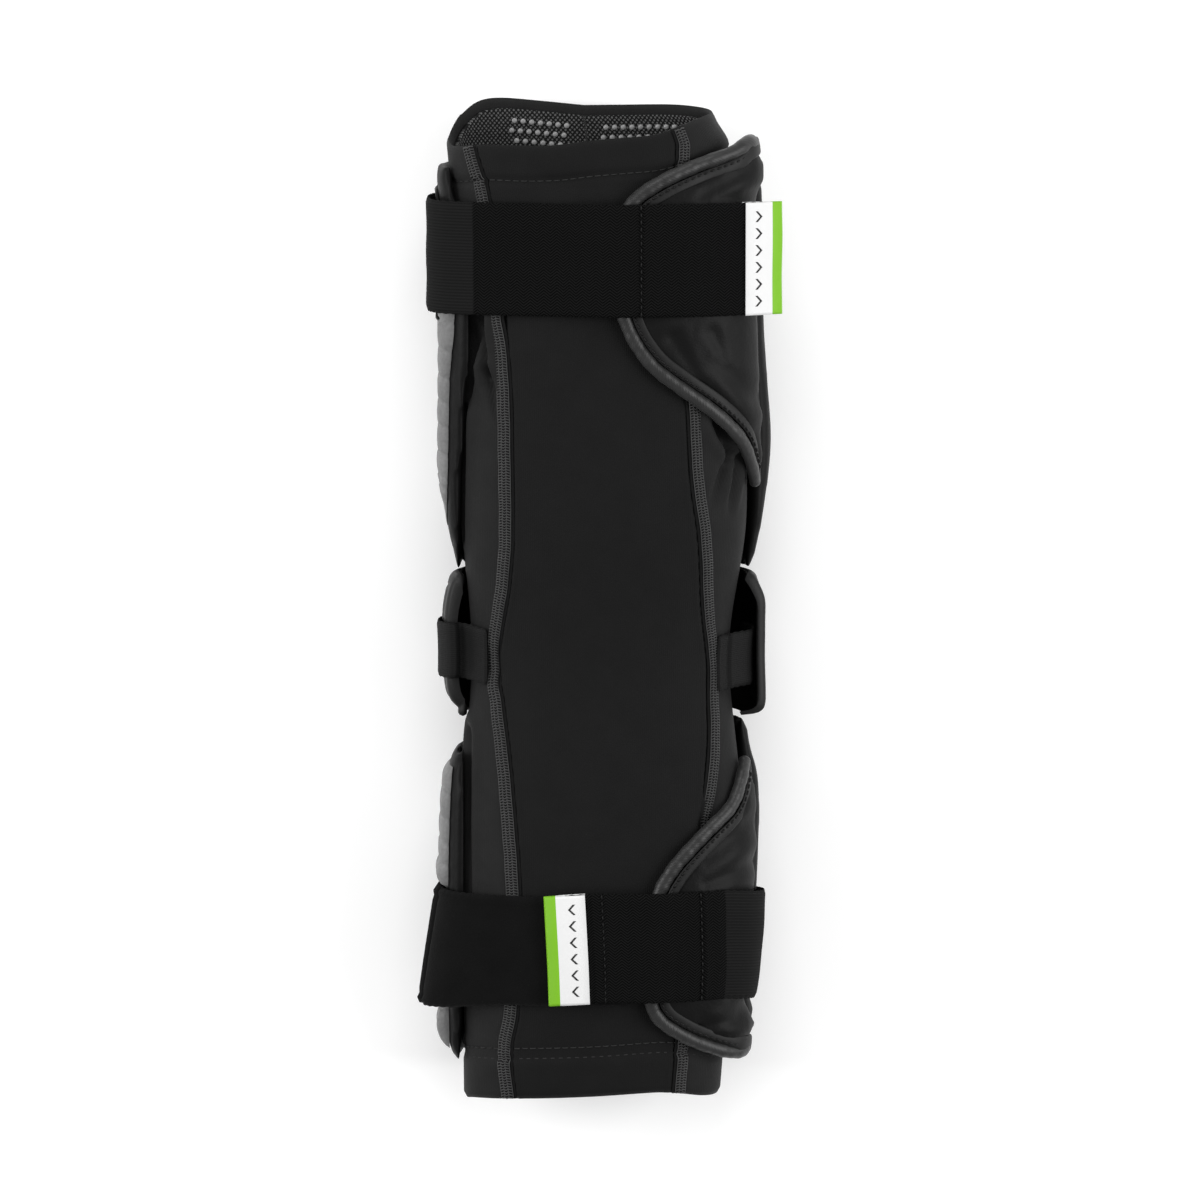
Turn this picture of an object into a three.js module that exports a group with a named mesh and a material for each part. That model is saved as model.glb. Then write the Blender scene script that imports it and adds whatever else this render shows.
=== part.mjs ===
import * as THREE from 'three';
import { mergeVertices } from 'three/addons/utils/BufferGeometryUtils.js';

// Left arm pad for lacrosse, lying on its outer shell with the soft inner side up.
// Millimetres, +Z up, +Y towards the upper arm. Offsets are measured outwards from the sleeve's cloth.

// Sleeve
const LENGTH = 353;
const WIDTH = 100;
const HEIGHT = 50;
const ROUNDNESS = 2.5;
const SLEEVE_WALL = 1.6;
const OPENING_DROP = 10;
const LINING_WIDTH = 27;
const LINING_WALL = 1.1;
const RIM_HEM = 3;

// Foam pads, shell panels and elbow cap
const CLEARANCE = 0.4;
const PAD_UNDER = 9;
const PAD_LEFT = 5;
const PAD_RIGHT = 7;
const PLATE_UNDER = 3.6;
const PLATE_SIDE = 2.2;
const RIB_PITCH = 9.5;
const RIB_DEPTH = 0.9;
const CAP_WALL = 2.6;
const CAP_STANDOFF = 11.4;
const CAP_SHIFT = 1.6;
const CAP_END_DEPTH = 7;
const UNDERSIDE_FLAT = 1.2;
const UNDERSIDE_EVEN = 0.15;   // stretch of the girth under the arm, as a share, where the layers are even

// Flaps, bindings, straps and tabs
const FLAP_EDGE = 3.4;
const BINDING_WIDTH = 5.4;
const BINDING_HEIGHT = 4.4;
const STRAP_WIDTH = 40;
const STRAP_WALL = 1.4;
const ELBOW_TAB_WIDTH = 20;
const ELBOW_TAB_WALL = 1.3;
const LANDING_WALL = 2.2;
const LANDING_FLARE = 7;
const PATCH_LENGTH = 49;
const PATCH_WALL = 1;
const PULL_TAB_WALL = 0.9;
const PULL_TAB_LENGTH = 14.5;
const PULL_TAB_LAP = 7;

const STACK = CLEARANCE + PAD_UNDER + CLEARANCE + PLATE_UNDER;
const FLAP_LIFT = 2 * CLEARANCE;
const ON_SLEEVE = 1.5 * CLEARANCE;
const ON_FLAP = FLAP_LIFT + BINDING_HEIGHT + CLEARANCE;
const ON_LANDING = ON_SLEEVE + LANDING_WALL + CLEARANCE;
const IN_TAB = ON_LANDING + PULL_TAB_WALL + 1.5 * CLEARANCE;

// Thickness of a layer that is thickest under the arm, at a share round the girth from 0 to 2
const positiveTurn = (share) => (share < 0 ? share + 2 : share);
function sideways(turn) {
  return Math.min(Math.max(Math.abs(turn - 1) - UNDERSIDE_EVEN, 0) / (0.5 - UNDERSIDE_EVEN), 1) ** 2;
}
function layered(share, right, under, left) {
  const turn = positiveTurn(share);
  const side = THREE.MathUtils.smoothstep(sideways(turn), 0, 1);
  return THREE.MathUtils.lerp(under, turn < 1 ? right : left, side);
}
const padWall = (share) => layered(share, PAD_RIGHT, PAD_UNDER, PAD_LEFT);
const plateWall = (share) => layered(share, PLATE_SIDE, PLATE_UNDER, PLATE_SIDE);
const onPad = (share) => CLEARANCE + padWall(share) + CLEARANCE;
const onPlate = (share) => onPad(share) + plateWall(share) + CLEARANCE;
const onPatch = (share) => onPlate(share) + PATCH_WALL + 1.5 * CLEARANCE;

// Sections of the sleeve: place along its length, half width, half height and sideways shift, as shares
// of the length, width, height and width
const SECTIONS = [
  { along: -0.5, wide: 0.462, high: 0.45, shift: -0.03 },
  { along: -0.44, wide: 0.472, high: 0.47, shift: -0.022 },
  { along: -0.35, wide: 0.495, high: 0.5, shift: -0.005 },
  { along: -0.2, wide: 0.502, high: 0.5, shift: 0.004 },
  { along: -0.05, wide: 0.463, high: 0.465, shift: 0 },
  { along: 0.09, wide: 0.512, high: 0.5, shift: 0.015 },
  { along: 0.22, wide: 0.508, high: 0.5, shift: 0.008 },
  { along: 0.36, wide: 0.5, high: 0.5, shift: 0 },
  { along: 0.44, wide: 0.5, high: 0.5, shift: -0.03 },
  { along: 0.5, wide: 0.498, high: 0.49, shift: -0.056 },
];

// Folds of the sleeve's cloth: middle along the length, middle and half width round the girth,
// half length along it and depth, as shares of the length, half girth, half girth, length and width
const FOLDS = [
  { along: 0.235, round: -0.33, wide: 0.035, long: 0.1, deep: 0.024 },
  { along: 0.12, round: 0.31, wide: 0.04, long: 0.1, deep: 0.022 },
  { along: -0.05, round: -0.2, wide: 0.09, long: 0.03, deep: 0.008 },
  { along: 0.43, round: 0.1, wide: 0.22, long: 0.02, deep: 0.012 },
];

// Stretches along the arm, as shares of the length
const UPPER_PAD = { from: 0.036, to: 0.456 };
const LOWER_PAD = { from: -0.474, to: -0.136 };
const UPPER_PLATE = { from: 0.078, to: 0.436 };
const LOWER_PLATE = { from: -0.286, to: -0.162 };
const CUFF_PLATE = { from: -0.464, to: -0.405 };
const ELBOW_CAP = { from: -0.122, to: 0.024 };
const ELBOW_PAD = { from: -0.092, to: -0.006 };
const UPPER_STRAP_AT = 0.36;
const LOWER_STRAP_AT = -0.347;
const ELBOW_TABS_AT = -0.051;
const PATCH_AT = 0.348;

// Edges round the arm, as shares of half the girth: 0 is the top line, 0.5 the right side, 1 the underside
// and 1.5 the left side
const PAD_RIGHT_EDGE = 0.5;
const PAD_LEFT_EDGE = 1.52;
const PLATE_RIGHT_EDGE = 0.66;
const PLATE_LEFT_EDGE = 1.49;
const CAP_RIGHT_EDGE = 0.47;
const CAP_LEFT_EDGE = 1.53;
const ELBOW_PAD_EDGE = 0.3;
const PATCH_FROM = 1.32;
const PATCH_TO = 1.5;

// Free edges of the two flaps: place round the half girth and along the length, as shares of them
const UPPER_FLAP = [
  { round: 0.465, along: 0.473 },
  { round: 0.42, along: 0.472 },
  { round: 0.375, along: 0.465 },
  { round: 0.24, along: 0.447 },
  { round: 0.165, along: 0.434 },
  { round: 0.11, along: 0.42 },
  { round: 0.06, along: 0.395 },
  { round: 0.045, along: 0.36 },
  { round: 0.05, along: 0.32 },
  { round: 0.068, along: 0.295 },
  { round: 0.095, along: 0.274 },
  { round: 0.14, along: 0.252 },
  { round: 0.21, along: 0.231 },
  { round: 0.3, along: 0.206 },
  { round: 0.38, along: 0.178 },
  { round: 0.425, along: 0.153 },
  { round: 0.465, along: 0.126 },
];
const LOWER_FLAP = [
  { round: 0.465, along: -0.155 },
  { round: 0.42, along: -0.173 },
  { round: 0.37, along: -0.198 },
  { round: 0.3, along: -0.219 },
  { round: 0.24, along: -0.24 },
  { round: 0.19, along: -0.262 },
  { round: 0.155, along: -0.29 },
  { round: 0.145, along: -0.34 },
  { round: 0.15, along: -0.39 },
  { round: 0.18, along: -0.414 },
  { round: 0.25, along: -0.432 },
  { round: 0.33, along: -0.446 },
  { round: 0.4, along: -0.455 },
  { round: 0.465, along: -0.453 },
];

// Runs of the straps round the girth, from one end to the other: place round the half girth and how
// high the inner face lies
const UPPER_STRAP_RUN = [
  { round: -0.66, lift: onPatch(-0.66) },
  { round: -0.58, lift: onPatch(-0.58) },
  { round: -0.47, lift: onPatch(-0.5) },
  { round: -0.41, lift: onPatch(-0.5) * 0.8 },
  { round: -0.35, lift: onPatch(-0.5) * 0.42 },
  { round: -0.28, lift: ON_SLEEVE + STRAP_WALL },
  { round: -0.2, lift: ON_SLEEVE + STRAP_WALL * 0.5 },
  { round: -0.1, lift: ON_SLEEVE + STRAP_WALL },
  { round: -0.03, lift: ON_FLAP * 0.78 },
  { round: 0.04, lift: ON_FLAP + STRAP_WALL * 0.3 },
  { round: 0.15, lift: ON_FLAP },
  { round: 0.24, lift: ON_FLAP + STRAP_WALL * 0.4 },
  { round: 0.31, lift: ON_FLAP + STRAP_WALL },
];
const LOWER_STRAP_RUN = [
  { round: -0.08, lift: IN_TAB },
  { round: 0, lift: IN_TAB },
  { round: 0.07, lift: ON_FLAP * 0.9 },
  { round: 0.14, lift: ON_FLAP + STRAP_WALL * 0.3 },
  { round: 0.24, lift: ON_FLAP },
  { round: 0.33, lift: ON_FLAP + STRAP_WALL * 0.5 },
  { round: 0.4, lift: onPad(0.5) - CLEARANCE },
  { round: 0.46, lift: onPad(0.5) + CLEARANCE },
  { round: 0.52, lift: onPad(0.52) + CLEARANCE },
  { round: 0.6, lift: onPad(0.6) + CLEARANCE },
];
const LANDING_RUN = [
  { round: -0.66, lift: onPad(-0.66) + CLEARANCE, flare: 0.3 },
  { round: -0.56, lift: onPad(-0.56) + CLEARANCE, flare: 0.8 },
  { round: -0.47, lift: onPad(-0.5) + CLEARANCE, flare: 1 },
  { round: -0.41, lift: onPad(-0.5) * 0.86, flare: 0.6 },
  { round: -0.35, lift: onPad(-0.5) * 0.5, flare: 0.2 },
  { round: -0.28, lift: ON_SLEEVE * 2, flare: 0 },
  { round: -0.15, lift: ON_SLEEVE, flare: 0 },
  { round: 0.07, lift: ON_SLEEVE, flare: 0 },
];
const STRAP_LEAN = 0.065;
const UPPER_STRAP_TAIL = { length: 0.15, drop: 0.42 };

// A smooth curve through one column of a table, read at a share
function column(table, place, name) {
  return (at) => {
    const last = table.length - 1;
    const value = Math.min(Math.max(at, table[0][place]), table[last][place]);
    let row = 0;
    while (row < last - 1 && value > table[row + 1][place]) row += 1;
    const slope = (k) => {
      const low = table[Math.max(k - 1, 0)];
      const high = table[Math.min(k + 1, last)];
      return (high[name] - low[name]) / (high[place] - low[place]);
    };
    const [a, b] = [table[row], table[row + 1]];
    const span = b[place] - a[place];
    const t = (value - a[place]) / span;
    const back = 1 - t;
    return a[name] * (1 + 2 * t) * back * back + slope(row) * span * t * back * back
      + b[name] * t * t * (3 - 2 * t) - slope(row + 1) * span * t * t * back;
  };
}
const halfWidth = column(SECTIONS, 'along', 'wide');
const halfHeight = column(SECTIONS, 'along', 'high');
const sideShift = column(SECTIONS, 'along', 'shift');

// A point on the quarter-turned superellipse, from the top at 0 to the underside at PI
function rounded(angle, wide, high) {
  const power = 2 / ROUNDNESS;
  const [c, s] = [Math.sin(angle), Math.cos(angle)];
  return [wide * Math.sign(c) * Math.abs(c) ** power, high * Math.sign(s) * Math.abs(s) ** power];
}

// Half of one section, measured along its girth
const ARC_STEPS = 240;
const sectionCache = new Map();
function section(y) {
  const key = Math.round(y * 100);
  if (sectionCache.has(key)) return sectionCache.get(key);
  const at = y / LENGTH;
  const wide = halfWidth(at) * WIDTH;
  const high = halfHeight(at) * HEIGHT;
  const lengths = [0];
  let [x0, z0] = rounded(0, wide, high);
  for (let k = 1; k <= ARC_STEPS; k += 1) {
    const [x, z] = rounded((Math.PI * k) / ARC_STEPS, wide, high);
    lengths.push(lengths[k - 1] + Math.hypot(x - x0, z - z0));
    [x0, z0] = [x, z];
  }
  const found = { wide, high, lengths, half: lengths[ARC_STEPS], shift: sideShift(at) * WIDTH };
  sectionCache.set(key, found);
  return found;
}

// A point at a share round the half girth, a place along the arm and an offset from the sleeve
function around(share, y, offset) {
  const { wide, high, lengths, half, shift } = section(y);
  const turn = share > 1 ? share - 2 : share;
  const target = Math.min(Math.abs(turn), 1) * half;
  let low = 0;
  let top = ARC_STEPS;
  while (top - low > 1) {
    const middle = (low + top) >> 1;
    if (lengths[middle] > target) top = middle;
    else low = middle;
  }
  const part = (target - lengths[low]) / (lengths[top] - lengths[low]);
  const angle = (Math.PI * (low + part)) / ARC_STEPS;
  const [x, z] = rounded(angle, wide + offset, high + offset);
  const lying = STACK - UNDERSIDE_FLAT + high + z;
  return new THREE.Vector3(shift + Math.sign(turn || 1) * x, y, Math.max(lying, STACK - offset));
}

// Closed body from a grid of inner and outer points; a ring closes on itself round the arm
function shell(rows, columns, point, ring = false) {
  const across = ring ? columns : columns + 1;
  const positions = [];
  const index = [];
  for (let side = 0; side < 2; side += 1) {
    for (let i = 0; i <= rows; i += 1) {
      for (let j = 0; j < across; j += 1) positions.push(...point(i / rows, j / columns, side).toArray());
    }
  }
  const at = (side, i, j) => (side * (rows + 1) + i) * across + (ring ? j % columns : j);
  const quad = (a, b, c, d) => index.push(a, b, c, a, c, d);
  for (let i = 0; i < rows; i += 1) {
    for (let j = 0; j < columns; j += 1) {
      quad(at(1, i, j), at(1, i, j + 1), at(1, i + 1, j + 1), at(1, i + 1, j));
      quad(at(0, i, j), at(0, i + 1, j), at(0, i + 1, j + 1), at(0, i, j + 1));
    }
  }
  for (let j = 0; j < columns; j += 1) {
    quad(at(0, 0, j), at(0, 0, j + 1), at(1, 0, j + 1), at(1, 0, j));
    quad(at(1, rows, j), at(1, rows, j + 1), at(0, rows, j + 1), at(0, rows, j));
  }
  for (let i = 0; i < rows && !ring; i += 1) {
    quad(at(1, i, 0), at(1, i + 1, 0), at(0, i + 1, 0), at(0, i, 0));
    quad(at(0, i, columns), at(0, i + 1, columns), at(1, i + 1, columns), at(1, i, columns));
  }
  return facingOut(positions, index);
}

function facingOut(positions, index) {
  let volume = 0;
  const corner = (k) => new THREE.Vector3().fromArray(positions, 3 * index[k]);
  for (let k = 0; k < index.length; k += 3) volume += corner(k).dot(corner(k + 1).cross(corner(k + 2)));
  if (volume < 0) index.reverse();
  const geometry = new THREE.BufferGeometry();
  geometry.setAttribute('position', new THREE.Float32BufferAttribute(positions, 3));
  geometry.setIndex(index);
  return mergeVertices(geometry, 1e-5);
}

// Nested layers share these columns, so that their facets lie parallel
const GIRTH_COLUMNS = 28;
function columnsBetween(from, to) {
  const step = 2 / GIRTH_COLUMNS;
  const columns = [from];
  for (let k = Math.ceil(from / step); k * step < to; k += 1) {
    if (k * step - from > 0.3 * step && to - k * step > 0.3 * step) columns.push(k * step);
  }
  return [...columns, to];
}
function sector(rows, from, to, point) {
  const columns = columnsBetween(from, to);
  const last = columns.length - 1;
  return shell(rows, last, (v, u, side) => point(v, columns[Math.round(u * last)], side));
}

const part = new THREE.Group();
function add(name, geometry, color, roughness, metalness = 0) {
  geometry.computeVertexNormals();
  const mesh = new THREE.Mesh(geometry, new THREE.MeshStandardMaterial({ color, roughness, metalness }));
  mesh.name = name;
  part.add(mesh);
}
const lerp = THREE.MathUtils.lerp;
const KNIT = 0x202020;
const FOAM_CLOTH = 0x262626;
const WEBBING = 0x161616;
const BINDING = 0x333333;

// How deep the folds press the cloth in at one point
function foldDepth(share, along) {
  const turn = share > 1 ? share - 2 : share;
  return FOLDS.reduce((deep, fold) => {
    const across = (turn - fold.round) / fold.wide;
    const down = (along - fold.along) / fold.long;
    return deep + fold.deep * WIDTH * Math.exp(-across * across - down * down);
  }, 0);
}

// The shoulder opening is lower at the front than at the back
function sleeveRow(v, share) {
  const drop = (OPENING_DROP * (1 + Math.cos(Math.PI * share))) / 2;
  return lerp(-LENGTH / 2, LENGTH / 2 - drop, v);
}
add('sleeve', shell(20, GIRTH_COLUMNS, (v, u, side) => {
  const share = 2 * u;
  const y = sleeveRow(v, share);
  return around(share, y, (side - 1) * SLEEVE_WALL - foldDepth(share, y / LENGTH));
}, true), KNIT, 0.85);

const liningOuter = -SLEEVE_WALL - CLEARANCE;
add('mesh_lining', shell(2, GIRTH_COLUMNS, (v, u, side) => {
  const share = 2 * u;
  const y = sleeveRow(1, share) - RIM_HEM - LINING_WIDTH * (1 - v);
  return around(share, y, liningOuter + (side - 1) * LINING_WALL - foldDepth(share, y / LENGTH));
}, true), 0x1a1a1a, 0.9);

// Falls from 1 to a small edge share near the ends of a stretch, as a stuffed edge does
function crowned(share, margin, edge) {
  const near = Math.min(Math.min(share, 1 - share) / margin, 1);
  return lerp(edge, 1, Math.sqrt(1 - (1 - near) ** 2));
}

// Rows closer together near both ends
const eased = (t) => lerp(t, (1 - Math.cos(Math.PI * t)) / 2, 0.6);

function addPad(name, stretch) {
  add(name, sector(10, PAD_RIGHT_EDGE, PAD_LEFT_EDGE, (v, share, side) => {
    const y = lerp(stretch.from, stretch.to, eased(v)) * LENGTH;
    const across = (share - PAD_RIGHT_EDGE) / (PAD_LEFT_EDGE - PAD_RIGHT_EDGE);
    const full = crowned(eased(v), 0.06, 0.45) * crowned(across, 0.04, 0.4);
    return around(share, y, side ? CLEARANCE + padWall(share) * full : ON_SLEEVE);
  }), FOAM_CLOTH, 0.8);
}
addPad('upper_pad', UPPER_PAD);
addPad('lower_pad', LOWER_PAD);

// Shell panels with ribs across the arm
function addPlate(name, stretch) {
  const ribs = Math.max(2, Math.round(((stretch.to - stretch.from) * LENGTH) / RIB_PITCH));
  add(name, sector(2 * ribs, PLATE_RIGHT_EDGE, PLATE_LEFT_EDGE, (v, share, side) => {
    const y = lerp(stretch.from, stretch.to, v) * LENGTH;
    const groove = Math.abs(Math.cos(Math.PI * ribs * v)) * RIB_DEPTH;
    return around(share, y, onPad(share) + side * (plateWall(share) - groove));
  }), 0x9a9a9a, 0.6);
}
addPlate('upper_plate', UPPER_PLATE);
addPlate('lower_plate', LOWER_PLATE);
addPlate('cuff_plate', CUFF_PLATE);

// Elbow cap: a bowl that stands off the sleeve and is flat where it rests
function capMiddle(share) {
  const turn = positiveTurn(share);
  const side = CAP_STANDOFF + Math.sign(1 - turn) * CAP_SHIFT;
  return lerp(STACK, side, sideways(turn));
}
function capDepth(v, share) {
  const end = Math.max(Math.abs(2 * v - 1) - 0.35, 0) / 0.65;
  return capMiddle(share) - CAP_END_DEPTH * end ** 2.5;
}
add('elbow_cap', sector(8, CAP_RIGHT_EDGE, CAP_LEFT_EDGE, (v, share, side) => {
  const y = lerp(ELBOW_CAP.from, ELBOW_CAP.to, v) * LENGTH;
  return around(share, y, capDepth(v, share) - (1 - side) * CAP_WALL);
}), 0x1c1c1c, 0.45);
add('elbow_pad', sector(6, 1 - ELBOW_PAD_EDGE, 1 + ELBOW_PAD_EDGE, (v, share, side) => {
  const along = lerp(ELBOW_PAD.from, ELBOW_PAD.to, v);
  const inCap = (along - ELBOW_CAP.from) / (ELBOW_CAP.to - ELBOW_CAP.from);
  const outer = capDepth(inCap, share) - CAP_WALL - 1.5 * CLEARANCE;
  return around(share, along * LENGTH, side ? outer : CLEARANCE);
}), 0x1e1e1e, 0.9);

// Flaps: one side joins the pad, the other has a free edge, with a round binding along it
function edgeCurve(table) {
  const points = table.map(({ round, along }) => new THREE.Vector2(round, along));
  return new THREE.SplineCurve(points);
}
function insetPoint(curve, t, inset) {
  const at = curve.getPoint(t);
  const tangent = curve.getTangent(t);
  const half = section(at.y * LENGTH).half;
  const flow = new THREE.Vector2(tangent.x * half, tangent.y * LENGTH).normalize();
  return { round: at.x - (flow.y * inset) / half, along: at.y + (flow.x * inset) / LENGTH };
}
function addFlap(name, table, steps) {
  const curve = edgeCurve(table);
  const root = PAD_RIGHT_EDGE - CLEARANCE / section(0).half;
  const inset = BINDING_WIDTH / 2 + CLEARANCE;
  const [first, last] = [table[0], table[table.length - 1]];
  const [rootTop, rootEnd] = [first.along - (1.5 * inset) / LENGTH, last.along + (1.5 * inset) / LENGTH];
  add(name, shell(steps, 9, (v, u, side) => {
    const free = insetPoint(curve, lerp(0.01, 0.97, v), inset);
    const round = lerp(free.round, root, u);
    const along = lerp(free.along, lerp(rootTop, rootEnd, v), u);
    const thick = lerp(FLAP_EDGE, PAD_RIGHT * 0.82, u ** 0.7);
    return around(round, along * LENGTH, FLAP_LIFT + side * thick);
  }), FOAM_CLOTH, 0.8);
}
const BINDING_SIDES = 8;
function addBinding(name, table, steps) {
  const curve = edgeCurve(table);
  const lift = FLAP_LIFT + BINDING_HEIGHT / 2;
  const centre = (t) => {
    const at = curve.getPoint(t);
    return around(at.x, at.y * LENGTH, lift);
  };
  const positions = [];
  const index = [];
  for (let i = 0; i <= steps; i += 1) {
    const t = i / steps;
    const at = curve.getPoint(t);
    const middle = centre(t);
    const up = around(at.x, at.y * LENGTH, lift + 1).sub(middle).normalize();
    const flow = centre(Math.min(t + 0.01, 1)).sub(centre(Math.max(t - 0.01, 0))).normalize();
    const across = flow.clone().cross(up).normalize();
    for (let k = 0; k < BINDING_SIDES; k += 1) {
      const angle = (2 * Math.PI * k) / BINDING_SIDES;
      const corner = middle.clone()
        .addScaledVector(across, (Math.cos(angle) * BINDING_WIDTH) / 2)
        .addScaledVector(up, (Math.sin(angle) * BINDING_HEIGHT) / 2);
      positions.push(...corner.toArray());
    }
  }
  for (let i = 0; i < steps; i += 1) {
    for (let k = 0; k < BINDING_SIDES; k += 1) {
      const next = (k + 1) % BINDING_SIDES;
      const [a, b] = [i * BINDING_SIDES + k, i * BINDING_SIDES + next];
      index.push(a, b, b + BINDING_SIDES, a, b + BINDING_SIDES, a + BINDING_SIDES);
    }
  }
  const end = steps * BINDING_SIDES;
  for (let k = 1; k < BINDING_SIDES - 1; k += 1) index.push(0, k + 1, k, end, end + k, end + k + 1);
  add(name, facingOut(positions, index), BINDING, 0.7);
}
addFlap('upper_flap', UPPER_FLAP, 20);
addBinding('upper_flap_binding', UPPER_FLAP, 34);
addFlap('lower_flap', LOWER_FLAP, 18);
addBinding('lower_flap_binding', LOWER_FLAP, 30);

// A band of even thickness along a run of points; its inner face passes through them
function band(width, at, wall, lean, run, steps) {
  const rows = 2;
  const lines = [];
  for (let i = 0; i <= rows; i += 1) {
    const beside = (i / rows - 0.5) * width;
    const points = run(at * LENGTH, beside, lean);
    const line = new THREE.CatmullRomCurve3(points, false, 'centripetal').getSpacedPoints(steps);
    lines.push(line);
  }
  return shell(rows, steps, (v, u, side) => {
    const line = lines[Math.round(v * rows)];
    const j = Math.round(u * steps);
    const flow = line[Math.min(j + 1, steps)].clone().sub(line[Math.max(j - 1, 0)]);
    const out = new THREE.Vector3(-flow.z, 0, flow.x).normalize();
    return line[j].clone().addScaledVector(out, side * wall);
  });
}
function wrapped(table, widen = () => 0) {
  return (middle, beside, lean) => table.map(({ round, lift, flare = 0 }) => {
    const half = section(middle + beside).half;
    const y = middle + beside + lean * round * half;
    return around(round - (lean * beside) / half, y, lift + flare * widen(beside));
  });
}

// The upper strap's tail leaves the arm in a straight line
function tailDirection() {
  return new THREE.Vector3(1, 0, -UPPER_STRAP_TAIL.drop).normalize();
}
function upperStrapRun(middle, beside, lean) {
  const points = wrapped(UPPER_STRAP_RUN)(middle, beside, lean);
  const last = points[points.length - 1];
  const reach = UPPER_STRAP_TAIL.length * WIDTH;
  [0.5, 1].forEach((share) => points.push(last.clone().addScaledVector(tailDirection(), share * reach)));
  return points;
}
add('strap_anchor_patch', sector(4, PATCH_FROM, PATCH_TO, (v, share, side) => {
  const y = PATCH_AT * LENGTH + (v - 0.5) * PATCH_LENGTH;
  return around(share, y, onPlate(share) + side * PATCH_WALL);
}), 0x181818, 0.7);
add('upper_strap', band(STRAP_WIDTH, UPPER_STRAP_AT, STRAP_WALL, 0, upperStrapRun, 30), WEBBING, 0.85);

// The landing panel flares out past the pad towards the cuff
const landingFlare = (beside) => LANDING_FLARE * (0.5 - beside / STRAP_WIDTH);
add('lower_landing_panel', band(STRAP_WIDTH, LOWER_STRAP_AT, LANDING_WALL, 0,
  wrapped(LANDING_RUN, landingFlare), 26), 0x202020, 0.9);
add('lower_strap', band(STRAP_WIDTH, LOWER_STRAP_AT, STRAP_WALL, STRAP_LEAN,
  wrapped(LOWER_STRAP_RUN), 28), WEBBING, 0.85);

// Pull tabs: a label folded over the strap's end, laid out from the end of the strap's run
function pullTab(run, at, lean, outward) {
  const gap = STRAP_WALL / 2 + CLEARANCE;
  const slot = 3 * CLEARANCE;
  const shape = [
    { out: -PULL_TAB_LAP, up: gap + PULL_TAB_WALL },
    { out: 0, up: gap + PULL_TAB_WALL },
    { out: 2 * slot, up: gap * 0.6 + PULL_TAB_WALL },
    { out: PULL_TAB_LENGTH - PULL_TAB_LAP, up: PULL_TAB_WALL + CLEARANCE / 2 },
    { out: PULL_TAB_LENGTH - PULL_TAB_LAP, up: -PULL_TAB_WALL - CLEARANCE / 2 },
    { out: 2 * slot, up: -gap * 0.6 - PULL_TAB_WALL },
    { out: 0, up: -gap - PULL_TAB_WALL },
    { out: -PULL_TAB_LAP, up: -gap - PULL_TAB_WALL },
    { out: -PULL_TAB_LAP, up: -gap },
    { out: slot, up: -gap },
    { out: slot, up: gap },
    { out: -PULL_TAB_LAP, up: gap },
  ];
  const positions = [];
  const index = [];
  const faces = THREE.ShapeUtils.triangulateShape(shape.map(({ out, up }) => new THREE.Vector2(out, up)), []);
  const stations = [-0.5, 0, 0.5];
  stations.forEach((share) => {
    const points = run(at * LENGTH, share * STRAP_WIDTH, lean);
    const [tip, before] = outward > 0 ? [points.at(-1), points.at(-2)] : [points[0], points[1]];
    const flow = tip.clone().sub(before).setY(0).normalize();
    const up = new THREE.Vector3(-flow.z, 0, flow.x).multiplyScalar(outward);
    shape.forEach((row) => {
      const corner = tip.clone().addScaledVector(flow, row.out).addScaledVector(up, row.up + STRAP_WALL / 2);
      corner.y += lean * flow.x * row.out;
      positions.push(...corner.toArray());
    });
  });
  const count = shape.length;
  for (let i = 0; i < stations.length - 1; i += 1) {
    for (let k = 0; k < count; k += 1) {
      const [a, b] = [i * count + k, i * count + ((k + 1) % count)];
      index.push(a, b, b + count, a, b + count, a + count);
    }
  }
  const end = (stations.length - 1) * count;
  faces.forEach(([a, b, c]) => index.push(a, b, c, a + end, c + end, b + end));
  return facingOut(positions, index);
}
add('upper_pull_tab', pullTab(upperStrapRun, UPPER_STRAP_AT, 0, 1), 0xe8e8e8, 0.6);
add('lower_pull_tab', pullTab(wrapped(LOWER_STRAP_RUN), LOWER_STRAP_AT, STRAP_LEAN, -1), 0xe8e8e8, 0.6);

// Elbow straps: from the outside of the cap, over its rim and down onto the sleeve
function elbowTabRun(sign) {
  const edge = CAP_RIGHT_EDGE;
  const outside = capMiddle(sign * edge) + 2 * CLEARANCE;
  const inside = outside - CAP_WALL - 4 * CLEARANCE;
  const rows = [
    { round: edge + 0.13, lift: capMiddle(sign * (edge + 0.13)) + 2 * CLEARANCE },
    { round: edge + 0.06, lift: capMiddle(sign * (edge + 0.06)) + 2 * CLEARANCE },
    { round: edge, lift: outside },
    { round: edge - 0.035, lift: (outside + inside) / 2 },
    { round: edge - 0.06, lift: inside * 0.55 },
    { round: edge - 0.08, lift: ON_SLEEVE + ELBOW_TAB_WALL },
    { round: edge - 0.11, lift: ON_SLEEVE * 1.6 },
    { round: edge - 0.15, lift: ON_SLEEVE * 1.4 },
  ];
  return (middle, beside) => {
    const points = rows.map(({ round, lift }) => around(sign * round, middle + beside, lift));
    return sign < 0 ? points : points.reverse();
  };
}
[['left', -1], ['right', 1]].forEach(([side, sign]) => {
  add(`elbow_tab_${side}`, band(ELBOW_TAB_WIDTH, ELBOW_TABS_AT, ELBOW_TAB_WALL, 0, elbowTabRun(sign), 18),
    WEBBING, 0.8);
});

export default part;
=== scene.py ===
import math

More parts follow.
